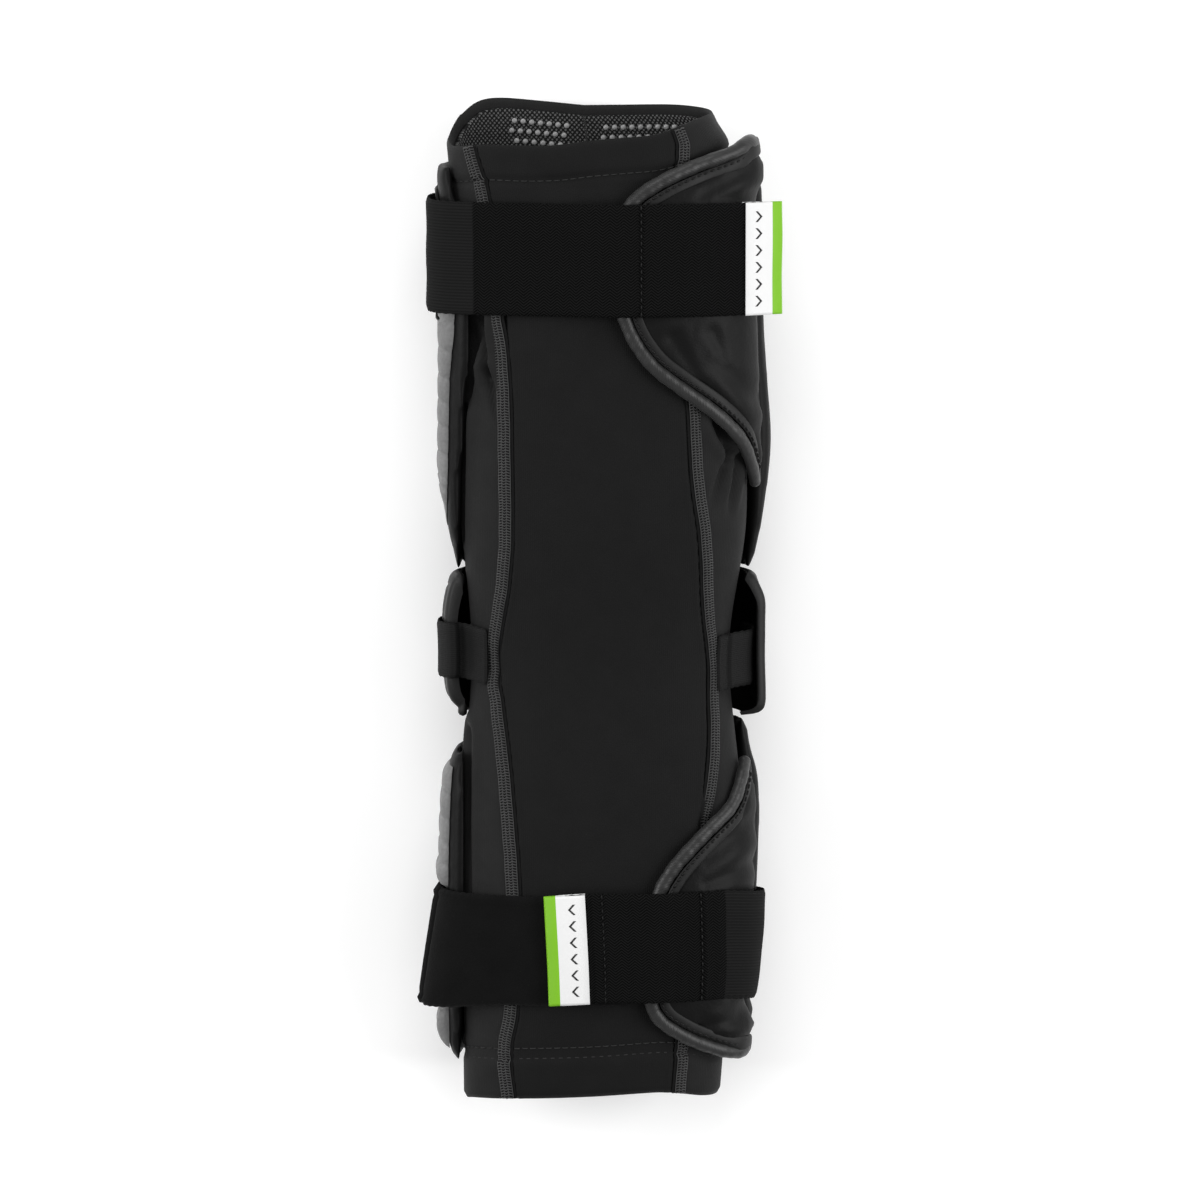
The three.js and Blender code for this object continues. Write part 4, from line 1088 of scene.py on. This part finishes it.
def padded_flap(name, table, node):
    """A flap inside its edge line, thicker towards the pad that it is sewn to. Returns the line."""
    line = path_through(table, 121)
    free = beside_line(line, BINDING_WIDTH / 2 - 0.6)
    roots = np.linspace(table[0][1] - 6 / LENGTH, table[-1][1] + 6 / LENGTH, 121)

    def place(v, u, side):
        row = np.clip(np.round(v * 120).astype(int), 0, 120)
        share = free[row, 0] + (FLAP_ROOT - free[row, 0]) * u
        y = (free[row, 1] + (roots[row] - free[row, 1]) * u) * LENGTH
        thick = FLAP_EDGE - 0.9 + (PAD_RIGHT * 0.78 - FLAP_EDGE) * u ** 0.7
        thick = thick * (0.55 + 0.45 * rolled_edge(14 * u + 0.2, 3.0))
        lift = FLAP_LIFT + flap_stand(share, y) + np.where(side > 0.5, thick, 0.0)
        return around(share, y, lift), np.stack([share * GIRTH, y], -1)

    flap = grid_shell(name, place, 120, 22, satin.material, lip=1)
    stuffed(flap, 1.9, 1.1, satin.material)
    pressed(flap, FLAP_CREASES)
    finish_piece(flap, "pad_cloth", node)
    return line


upper_edge = padded_flap("upper_padded_flap", UPPER_FLAP, "upper_flap")
lower_edge = padded_flap("lower_padded_flap", LOWER_FLAP, "lower_flap")

# Flap bindings
# The flaps' free edges are bound with a rolled satin tape round a cord. A flat strip beside the roll
# is sewn down with dark running stitches.
# Binding tape: a slight gloss on fine twill, pulled a little uneven
binding_cloth = Look("satin_binding_tape", 0.42, "UV", sheen=0.05, specular=0.3)
tape_twill = binding_cloth.texture("Wave", 0.5, {"bands_direction": "DIAGONAL"}, Distortion=1.2, Detail=2.0)
tape_pull = binding_cloth.texture("Noise", 0.22)
binding_cloth.tone(tape_pull, "#1A1A1A", "#292929")
binding_cloth.bump(binding_cloth.maths("MULTIPLY_ADD", tape_twill, 0.3, tape_pull), 0.14, 0.0005)
# Flat tape beside the roll: the same cloth pressed flat, with a darker base colour that is painted shade
shaded_strip_cloth = Look("flat_satin_tape_painted_shade", 0.5, "UV", specular=0.18)
strip_pull = shaded_strip_cloth.texture("Noise", 0.3, Detail=3.0)
shaded_strip_cloth.tone(strip_pull, "#0F0F0F", "#1B1B1B")
shaded_strip_cloth.bump(strip_pull, 0.2, 0.0005)
# Bonded thread, near black: partly its own colour and partly painted shade of the dents that the stitches
# press in
dark_thread = Look("dark_thread_and_dent_shade", 0.5, "Object", specular=0.2)
dark_thread.tone(dark_thread.texture("Noise", 800.0), "#050505", "#0E0E0E")

ROLL, STRIP = 5.0, 3.6  # widths
TIP_RUN, EDGE_RUN = 220.0, 300  # lengths of the edge, for its tip and for its ends
for binding_name, line, node, tip_first in (
    ("upper_flap_edge_binding", upper_edge, "upper_flap_binding", True),
    ("lower_flap_edge_binding", lower_edge, "lower_flap_binding", False),
):
    fine = path_through(line, 420)
    run = np.linspace(0, 1, 420)
    from_tip = (run if tip_first else 1 - run) * TIP_RUN
    stand = flap_stand(fine[:, 0], fine[:, 1] * LENGTH)

    def stations(distance, lift):
        shares, along = beside_line(fine, distance).T
        return on_surface(shares, along * LENGTH, lift + stand)

    gather = 1 + 0.02 * np.sin(run * 310) + 0.035 * np.sin(run * 131 + 1) + 0.35 * bell(from_tip - 4, 6)
    size = gather * (rolled_edge(to_edge(run, EDGE_RUN), 2.5) * 0.85 + 0.15)
    profile = np.array([oval(ROLL * s, BINDING_HEIGHT * s * 0.96, 18) for s in size])
    at = stations(0.0, FLAP_LIFT + BINDING_HEIGHT / 2 - 0.1)
    roll = swept(binding_name, *at, profile, binding_cloth.material)
    beside = (ROLL / 2 + STRIP / 2 - 0.3) * (1 - 0.75 * bell(from_tip, 9))
    wider = 1 + 0.9 * bell(from_tip, 14)
    profile = np.array([oval(STRIP * w, 1.3 + 2 * (w - 1), 12, 0.0, 0.6) for w in wider])
    at = stations(beside, FLAP_LIFT + FLAP_EDGE - 0.1)
    strip = swept(binding_name + "_strip", *at, profile, shaded_strip_cloth.material)
    p, o = stations(beside - STRIP / 2 + 0.75, FLAP_LIFT + FLAP_EDGE + 0.5)
    stitches = sewn_along(binding_name + "_stitches", [(p[14:-14], o[14:-14])], 2.6,
                          dash("binding_dash", 1.7, 0.4), dark_thread.material)
    finish_piece(joined(binding_name, [roll, strip, stitches]), "edge_binding", node)

# Anchor patch
# A black cloth patch on the left side, where the upper strap is sewn to the shell panel.
PATCH_FROM, PATCH_TO, PATCH_AT, PATCH_LENGTH, PATCH_WALL = 1.32, 1.53, 0.359, 47.5, 1.0
PATCH_ROUND = 23     # its width round the arm, near enough for its corners


def on_plate(share):
    """The lift of what lies on the shell panels."""
    return on_pad(share) + plate_wall(share) + CLEARANCE


def patch_place(v, u, side):
    share = PATCH_FROM + (PATCH_TO - PATCH_FROM) * u
    inset = 4.0 * (1 - rolled_edge(to_edge(u, PATCH_ROUND), 4.0))
    y = PATCH_AT * LENGTH + (v - 0.5) * (PATCH_LENGTH - 2 * inset)
    edge = np.minimum(to_edge(v, PATCH_LENGTH), to_edge(u, PATCH_ROUND))
    thick = PATCH_WALL * (0.4 + 0.6 * rolled_edge(edge, 1.2)) - 0.3 * bell(edge - 3, 0.5)
    lift = on_plate(share) - CLEARANCE - 2.4 * smoothstep((y - 126) / 16)
    return around(share, y, lift + np.where(side > 0.5, thick, 0.0)), np.stack([share * GIRTH, y], -1)


patch = grid_shell("strap_anchor_cloth", patch_place, 60, 30, satin.material, lip=1)
finish_piece(patch, "pad_cloth", "strap_anchor_patch")

# Straps
# Two wide elastic straps with a herringbone weave. Their folded ends are smooth and sewn across. The
# lower one closes with hook tape on a loop-faced panel.
STRAP_WIDTH, STRAP_WALL, ELBOW_TAB_WALL, LANDING_WALL, LANDING_FLARE = 40.0, 1.4, 1.3, 2.2, 7.0
PULL_TAB_WALL = 0.9
UPPER_STRAP_AT, LOWER_STRAP_AT, ELBOW_TABS_AT, STRAP_LEAN = 0.36, -0.347, -0.051, 0.065
ON_SLEEVE = 1.5 * CLEARANCE
ON_FLAP = FLAP_LIFT + BINDING_HEIGHT + CLEARANCE
ON_LANDING = ON_SLEEVE + LANDING_WALL + CLEARANCE
IN_TAB = ON_LANDING + PULL_TAB_WALL + 1.5 * CLEARANCE


def on_patch(share):
    return on_plate(share) + PATCH_WALL + 1.5 * CLEARANCE


UPPER_STRAP_RUN = np.array([  # place round the half girth, lift of the inner face
    (-0.66, on_patch(-0.66)), (-0.58, on_patch(-0.58)), (-0.47, on_patch(-0.5)),
    (-0.41, on_patch(-0.5) * 0.8), (-0.35, on_patch(-0.5) * 0.42), (-0.28, ON_SLEEVE + STRAP_WALL),
    (-0.2, ON_SLEEVE + STRAP_WALL * 0.5), (-0.1, ON_SLEEVE + STRAP_WALL), (-0.03, ON_FLAP * 0.78),
    (0.04, ON_FLAP + STRAP_WALL * 0.3), (0.15, ON_FLAP), (0.24, ON_FLAP + STRAP_WALL * 0.4),
    (0.31, ON_FLAP + STRAP_WALL)])
LOWER_STRAP_RUN = np.array([
    (-0.08, IN_TAB), (0, IN_TAB), (0.07, ON_FLAP * 0.9), (0.14, ON_FLAP + STRAP_WALL * 0.3),
    (0.24, ON_FLAP), (0.33, ON_FLAP + STRAP_WALL * 0.5), (0.4, on_pad(0.5) - CLEARANCE),
    (0.46, on_pad(0.5) + CLEARANCE), (0.52, on_pad(0.52) + CLEARANCE), (0.6, on_pad(0.6) + CLEARANCE)])
GIRTH_AT_STRAP = 128     # half the girth there
LOWER_STRAP_SHIFT = 2.9  # the middle of its closed end lies this far towards the elbow, in mm
lower_shift = LOWER_STRAP_SHIFT - STRAP_LEAN * GIRTH_AT_STRAP * np.clip(LOWER_STRAP_RUN[:, 0], 0.0, 1)
lower_shift = lower_shift - 2.8 * smoothstep((LOWER_STRAP_RUN[:, 0] - 0.33) / 0.15)
lower_shift = lower_shift - 2.6 * smoothstep((LOWER_STRAP_RUN[:, 0] - 0.48) / 0.1)
LOWER_STRAP_RUN = np.column_stack([LOWER_STRAP_RUN, np.zeros(len(LOWER_STRAP_RUN)), lower_shift])
LANDING_RUN = np.array([  # place, lift and share of the flare
    (-0.66, on_pad(-0.66) + CLEARANCE, 0.3), (-0.56, on_pad(-0.56) + CLEARANCE, 0.8),
    (-0.47, on_pad(-0.5) + CLEARANCE, 1.0), (-0.41, on_pad(-0.5) * 0.86, 0.6),
    (-0.35, on_pad(-0.5) * 0.5, 0.2), (-0.28, ON_SLEEVE * 2, 0.0), (-0.15, ON_SLEEVE, 0.0),
    (0.07, ON_SLEEVE, 0.0)])
landing_drop = smoothstep((-0.25 - LANDING_RUN[:, 0]) / 0.25)
LANDING_RUN = np.column_stack([LANDING_RUN, 0.9 - 1.6 * landing_drop, 3.4 * landing_drop])
UPPER_TAIL_LENGTH, UPPER_TAIL_DROP = 15.0, 0.42


def strap_line(table, at, beside, lean=0.0, widen=lambda beside: 0, tail=False):
    """Points of one thread line of a strap, from one end to the other."""
    middle = at * LENGTH
    half = half_at(middle + beside)
    rows = []
    for row in table:
        y = middle + beside + lean * row[0] * half + (row[3] if len(row) > 3 else 0)
        y = y + (row[4] * beside / STRAP_WIDTH if len(row) > 4 else 0)
        flare = row[2] * widen(beside) if len(row) > 2 else 0
        point = around(row[0] - lean * beside / half, y, row[1] + flare)
        if tail:
            level = around(row[0], middle, row[1])
            near_end = smoothstep((row[0] - 0.1) / 0.15) + smoothstep((-0.25 - row[0]) / 0.2)
            point[[0, 2]] += (level[[0, 2]] - point[[0, 2]]) * near_end
        rows.append(point)
    if tail:
        away = np.array([1, 0, -UPPER_TAIL_DROP]) / math.hypot(1, UPPER_TAIL_DROP)
        rows += [rows[-1] + away * UPPER_TAIL_LENGTH * share for share in (0.5, 1)]
    return np.array(rows)


def even_line(points, count):
    """Evenly spaced points on a smooth line through the given ones."""
    chord = np.concatenate([[0], np.cumsum(np.linalg.norm(np.diff(points, axis=0), axis=1) ** 0.5)])
    fine = np.linspace(0, chord[-1], 800)
    table = np.column_stack([chord, points])
    line = np.stack([column(table, fine, k) for k in (1, 2, 3)], -1)
    run = run_along(line)
    even = np.linspace(0, run[-1], count)
    return np.stack([np.interp(even, run, line[:, k]) for k in range(3)], -1), run[-1]


def no_relief(along, across):
    return 0 * along


def flat_band(name, table, at, width, wall, material, lean=0.0, widen=lambda beside: 0, tail=False,
              relief=no_relief, rows=24, steps=220):
    """A strap of even thickness. Returns the piece, and a function that gives places on its outer face."""
    lines = []
    for i in range(rows + 1):
        thread_line = strap_line(table, at, (i / rows - 0.5) * width, lean, widen, tail)
        line, length = even_line(thread_line, steps + 1)
        lines.append(line)
    lines = np.array(lines)
    flow = np.gradient(lines, axis=1)
    out = np.stack([-flow[..., 2], np.zeros(flow.shape[:2]), flow[..., 0]], -1)
    out /= np.linalg.norm(out, axis=2, keepdims=True)

    def place(v, u, side):
        i = np.clip(np.round(v * rows).astype(int), 0, rows)
        j = np.clip(np.round(u * steps).astype(int), 0, steps)
        along, across = u * length, (v - 0.5) * width
        pinch = 0.35 * wall * (1 - rolled_edge(width / 2 - np.abs(across), 1.0))
        lift = np.where(side > 0.5, wall + relief(along, across) - pinch, pinch)
        fray = 0.12 * np.sin(along * 2.1 + 3 * np.sign(across)) * (np.abs(across) > width / 2 - 0.01)
        point = lines[i, j] + out[i, j] * np.asarray(lift)[..., None]
        point[..., 1] += fray
        return point, np.stack([along, across], -1)

    band = grid_shell(name, place, rows, steps, material, lip=1)

    def outer(along, across, lift):
        u = np.clip(np.asarray(along) / length, 0, 1) * steps
        v = np.clip(np.asarray(across) / width + 0.5, 0, 1) * rows
        i, j = np.minimum(v.astype(int), rows - 1), np.minimum(u.astype(int), steps - 1)
        a, b = (v - i)[:, None], (u - j)[:, None]
        base = (lines[i, j] * (1 - a) * (1 - b) + lines[i + 1, j] * a * (1 - b)
                + lines[i, j + 1] * (1 - a) * b + lines[i + 1, j + 1] * a * b)
        return base + out[i, j] * (wall + lift), out[i, j]

    return band, outer, length


# Herringbone elastic: near black and dull, with fine lighter zigzag ribs; its folded ends are plain
elastic = Look("herringbone_elastic", 0.85, "UV", specular=0.05)
ways = elastic.node("SeparateXYZ", None, {"Vector": elastic.place}).outputs
along_way, across_way = ways["X"], ways["Y"]
zigzag = elastic.maths("PINGPONG", along_way, 2.4)
slanted = elastic.maths("MULTIPLY_ADD", zigzag, 0.8, across_way)
rib = elastic.maths("SINE", elastic.maths("MULTIPLY", slanted, 2 * math.pi / 1.05))
cross_wave = elastic.maths("SINE", elastic.maths("MULTIPLY", across_way, 2 * math.pi / 1.1))
cross_rib = elastic.maths("MULTIPLY", cross_wave, 0.25)
folded = elastic.node("Attribute", {"attribute_name": "folded_end"}).outputs["Fac"]
weave = elastic.mixed(folded, rib, cross_rib, "FLOAT")
elastic.tone(folded, "#080808", "#101010", elastic.between(weave, from_min=-1.0, to_min=0.1, to_max=3.1))
elastic.bump(weave, 0.5, 0.0004)


def mark_folded(made, ranges):
    """Marks the smooth folded ends of a strap, by their distance along it in mm."""
    mesh = made.data
    mark = mesh.attributes.new("folded_end", "FLOAT", "CORNER")
    uv = np.zeros(len(mesh.loops) * 2, np.float32)
    mesh.uv_layers["pattern"].data.foreach_get("uv", uv)
    along = uv.reshape(-1, 2)[:, 0]
    value = np.zeros(len(along), np.float32)
    for low, high in ranges:
        value = np.maximum(value, ((along > low) & (along < high)).astype(np.float32))
    mark.data.foreach_set("value", value)


upper_strap_length = even_line(strap_line(UPPER_STRAP_RUN, UPPER_STRAP_AT, 0, tail=True), 10)[1]
UPPER_FOLD = 56.0
UPPER_JOIN = upper_strap_length - 44.5


def upper_strap_relief(along, across):
    relief = -0.35 * bell(along - UPPER_JOIN, 0.7)
    relief = relief - 0.3 * bell(along - (upper_strap_length - 3.5), 0.6)
    relief = relief + 0.35 * smoothstep((UPPER_FOLD - along) / 1.0)
    return relief + 0.12 * np.sin(across * 0.35 + along * 0.05) + 0.1 * np.sin(along * 0.21)


upper_strap, upper_outer, upper_strap_length = flat_band(
    "upper_elastic_strap", UPPER_STRAP_RUN, UPPER_STRAP_AT, STRAP_WIDTH, STRAP_WALL, elastic.material,
    tail=True, relief=upper_strap_relief)
mark_folded(upper_strap, [(-1, UPPER_FOLD)])
finish_piece(upper_strap, "webbing", "upper_strap")

lower_strap_length = even_line(strap_line(LOWER_STRAP_RUN, LOWER_STRAP_AT, 0, STRAP_LEAN), 10)[1]
LOWER_JOIN = 48.5
LOWER_SMOOTH = 58.0


def lower_strap_relief(along, across):
    relief = -0.4 * bell(along - LOWER_JOIN, 0.7) + 0.3 * bell(along - LOWER_JOIN - 1.7, 0.6)
    for at in (3.2, 5.4, 7.6, 9.8):
        relief = relief + 0.5 * bell(along - at, 0.55)
    return relief + 0.12 * np.sin(across * 0.3 + along * 0.07)


lower_strap, lower_outer, _ = flat_band(
    "lower_elastic_strap", LOWER_STRAP_RUN, LOWER_STRAP_AT, STRAP_WIDTH, STRAP_WALL, elastic.material,
    lean=STRAP_LEAN, relief=lower_strap_relief)
mark_folded(lower_strap, [(LOWER_SMOOTH, 300)])
finish_piece(lower_strap, "webbing", "lower_strap")

strap_rows = []
half_strap = STRAP_WIDTH / 2 - 1.2
for outer, at in ((upper_outer, UPPER_JOIN), (upper_outer, upper_strap_length - 3.5),
                  (upper_outer, upper_strap_length - 5.0), (lower_outer, LOWER_JOIN), (lower_outer, 13.0)):
    across = np.linspace(-half_strap, half_strap, 40)
    strap_rows.append(outer(np.full(40, at), across, 0.0))
strap_stitches = sewn_along("strap_cross_stitches", strap_rows, 2.4, dash("strap_dash", 1.7, 0.28),
                            dark_thread.material)
finish_piece(strap_stitches, "webbing")

# Landing panel
# A smooth panel faced with fine loop cloth, sewn on at the left, that the lower strap grips. Its left
# edge is a thin rolled hem.
# Brushed loop: black nap without gloss, a little uneven
loop_face = Look("brushed_loop_cloth", 0.95, "UV", sheen=0.02, specular=0.05)
loop_nap = loop_face.texture("Noise", 1.3, Detail=4.0)
loop_mix = loop_face.maths("MULTIPLY_ADD", loop_nap, 0.5, loop_face.texture("Noise", 0.08, Detail=3.0))
loop_face.tone(loop_mix, "#070707", "#101010")
loop_face.bump(loop_nap, 0.45, 0.0004)


def landing_flare(beside):
    return LANDING_FLARE * (0.5 - beside / STRAP_WIDTH)


def landing_relief(along, across):
    edge = STRAP_WIDTH / 2 - np.abs(across)
    hem = 0.9 * bell(along - 27.0, 1.9) - 1.2 * bell(along - 30.6, 0.9)
    return hem + 0.3 * bell(edge - 1.4, 1.2) - 0.3 * bell(edge - 3.4, 0.6)


landing, _, landing_length = flat_band(
    "loop_landing_panel", LANDING_RUN, LOWER_STRAP_AT, STRAP_WIDTH, LANDING_WALL, loop_face.material,
    widen=landing_flare, relief=landing_relief)
finish_piece(landing, "loop_cloth", "lower_landing_panel")

# Pull tabs
# Woven labels folded over the straps' ends: white satin with a lime green end. A plain row of printed
# chevrons shows the way to pull.
# Satin label: bright white and lime green with a fine cross weave
label = Look("woven_satin_label", 0.45, "UV", specular=0.2)
label_weave = label.texture("Wave", 0.9, {"bands_direction": "Y"}, Distortion=0.3)
label_dye = label.node("Attribute", {"attribute_name": "tab_dye"}).outputs["Fac"]
label.tone(label_dye, "#DADADA", "#74B022", label.between(label_weave, to_min=0.93, to_max=1.02))
label.bump(label_weave, 0.2, 0.0002)
# Printed ink: flat and almost black
ink = Look("printed_label_ink", 0.6, "Object")
ink.tone(ink.texture("Noise", 700.0), "#101010", "#1C1C1C")
TAB_LAP, TAB_OUT, GREEN_END, LABEL_WALL = 7.0, 7.5, 4.0, 0.62
CHEVRONS = 6


def pull_tab(name, table, at, lean, tail, outward, node):
    """A label folded round the end of a strap, with its face, its fold and its back in one body."""
    gap = STRAP_WALL / 2 + CLEARANCE
    face = [(-TAB_LAP, gap + 0.15), (-3.5, gap + 0.1), (0, gap), (2.0, gap * 0.75),
            (TAB_OUT - GREEN_END, 0.4), (TAB_OUT - 0.5, 0.25)]
    loop = np.array(face + [(TAB_OUT, 0.0)] + [(out_by, -high) for out_by, high in face[::-1]])
    flow = np.gradient(loop, axis=0)
    normal = unit(np.stack([-flow[:, 1], flow[:, 0]], -1))
    outer_loop = loop + normal * np.where(normal[:, 1:] * loop[:, 1:] < 0, -LABEL_WALL, LABEL_WALL)
    outer_loop[6] = (TAB_OUT + 0.3, 0)
    ring = np.concatenate([outer_loop, loop[::-1]])
    stations = np.linspace(-0.5, 0.5, 41)

    def spot(share, out_by, high):
        line = strap_line(table, at, share * STRAP_WIDTH, lean, tail=tail)
        tip, before = (line[-1], line[-2]) if outward > 0 else (line[0], line[1])
        way = tip - before
        way[1] = 0
        way /= np.linalg.norm(way)
        up = np.array([-way[2], 0, way[0]]) * outward
        lift = high + STRAP_WALL / 2 + 0.25 * math.sin(share * 9) * max(out_by, 0) / TAB_OUT
        return tip + way * out_by + up * lift + np.array([0, lean * way[0] * out_by, 0])

    points = [spot(share, out_by, high) for share in stations for out_by, high in ring]
    uv = [(out_by, share * STRAP_WIDTH) for share in stations for out_by, _ in ring]
    count = len(ring)
    faces = tube_faces(len(stations), count)
    for first in (0, (len(stations) - 1) * count):
        faces += [(first + k, first + k + 1, first + count - 2 - k, first + count - 1 - k)
                  for k in range(len(loop) - 1)]
    tab = make_object(name, points, faces, label.material, uv)
    face_outwards(tab)
    mesh = tab.data
    dyed = np.zeros(len(mesh.loops), np.float32)
    for polygon in mesh.polygons:
        reach = np.mean([uv[k][0] for k in polygon.vertices])
        dyed[list(polygon.loop_indices)] = 1.0 if reach > TAB_OUT - GREEN_END else 0.0
    mesh.attributes.new("tab_dye", "FLOAT", "CORNER").data.foreach_set("value", dyed)
    print_points, print_faces = [], []
    for middle in np.linspace(-15, 15, CHEVRONS):
        for turn in (-1, 1):
            base = len(print_points)
            for lifted in (-0.05, 0.06):
                for out_by, beside in ((-3.4, 1.9), (-2.5, 1.9), (-0.7, 0.0), (-1.6, 0.0)):
                    high = np.interp(out_by, outer_loop[:7, 0], outer_loop[:7, 1])
                    print_points.append(spot((middle + turn * beside) / STRAP_WIDTH, out_by, high + lifted))
            print_faces += [(base, base + 1, base + 2, base + 3), (base + 7, base + 6, base + 5, base + 4)]
            print_faces += [(base + k, base + k + 4, base + (k + 1) % 4 + 4, base + (k + 1) % 4)
                            for k in range(4)]
    print_marks = make_object(name + "_print", print_points, print_faces, ink.material, smooth=False)
    face_outwards(print_marks)
    tab = joined(name, [tab, print_marks])
    finish_piece(tab, "pull_tab", node)


pull_tab("upper_pull_label", UPPER_STRAP_RUN, UPPER_STRAP_AT, 0, True, 1, "upper_pull_tab")
pull_tab("lower_pull_label", LOWER_STRAP_RUN, LOWER_STRAP_AT, STRAP_LEAN, False, -1, "lower_pull_tab")

# Elbow tabs
# Two short lengths of ribbed webbing come from outside the cap, over its rim and down to the seams.
ELBOW_TAB_WIDTH = 20.0

# Ribbed webbing: black and dull, with ribs across it
webbing = Look("ribbed_polyester_webbing", 0.7, "UV", specular=0.15)
web_rib, web_pick = (webbing.texture("Wave", scale, {"bands_direction": way}, Distortion=0.4)
                     for way, scale in (("Y", 0.45), ("X", 0.35)))
web_height = webbing.maths("MULTIPLY_ADD", web_pick, 0.4, web_rib)
webbing.tone(web_height, "#070707", "#121212")
webbing.bump(web_height, 0.25, 0.0004)

LEFT_TAB_RUN = np.array([  # place round the half girth, lift, flare and shift along the arm, from outside in
    (-0.60, 10.2, 0, 3.0), (-0.53, 10.3, 0, 3.0), (-0.485, 10.7, 0, 3.0), (-0.46, 9.8, 0, 3.0),
    (-0.437, 7.8, 0, 2.9), (-0.452, 5.2, 0, 2.7), (-0.45, 3.0, 0, 2.6), (-0.425, 1.4, 0, 2.4),
    (-0.39, 0.9, 0, 2.0), (-0.355, 0.8, 0, 1.5)])
RIGHT_TAB_RUN = np.array([
    (0.372, 0.8, 0, -1.2), (0.395, 0.9, 0, -1.0), (0.415, 1.3, 0, -0.8), (0.435, 2.2, 0, -0.6),
    (0.455, 4.2, 0, -0.4), (0.475, 6.4, 0, -0.3), (0.50, 7.5, 0, -0.2), (0.54, 7.6, 0, 0),
    (0.60, 7.6, 0, 0)])
RIGHT_TAB_CREASE = 5.2


def tab_crease(along, across):
    """The right tab is creased where it leaves the sleeve."""
    return -1.1 * bell(along - RIGHT_TAB_CREASE, 1.0)


for side_name, table, relief in (("left", LEFT_TAB_RUN, no_relief), ("right", RIGHT_TAB_RUN, tab_crease)):
    tab, _, tab_length = flat_band("elbow_webbing_" + side_name, table, ELBOW_TABS_AT, ELBOW_TAB_WIDTH,
                                   ELBOW_TAB_WALL, webbing.material, relief=relief, rows=14, steps=120)
    finish_piece(tab, "webbing", "elbow_tab_" + side_name)

bpy.context.view_layer.update()
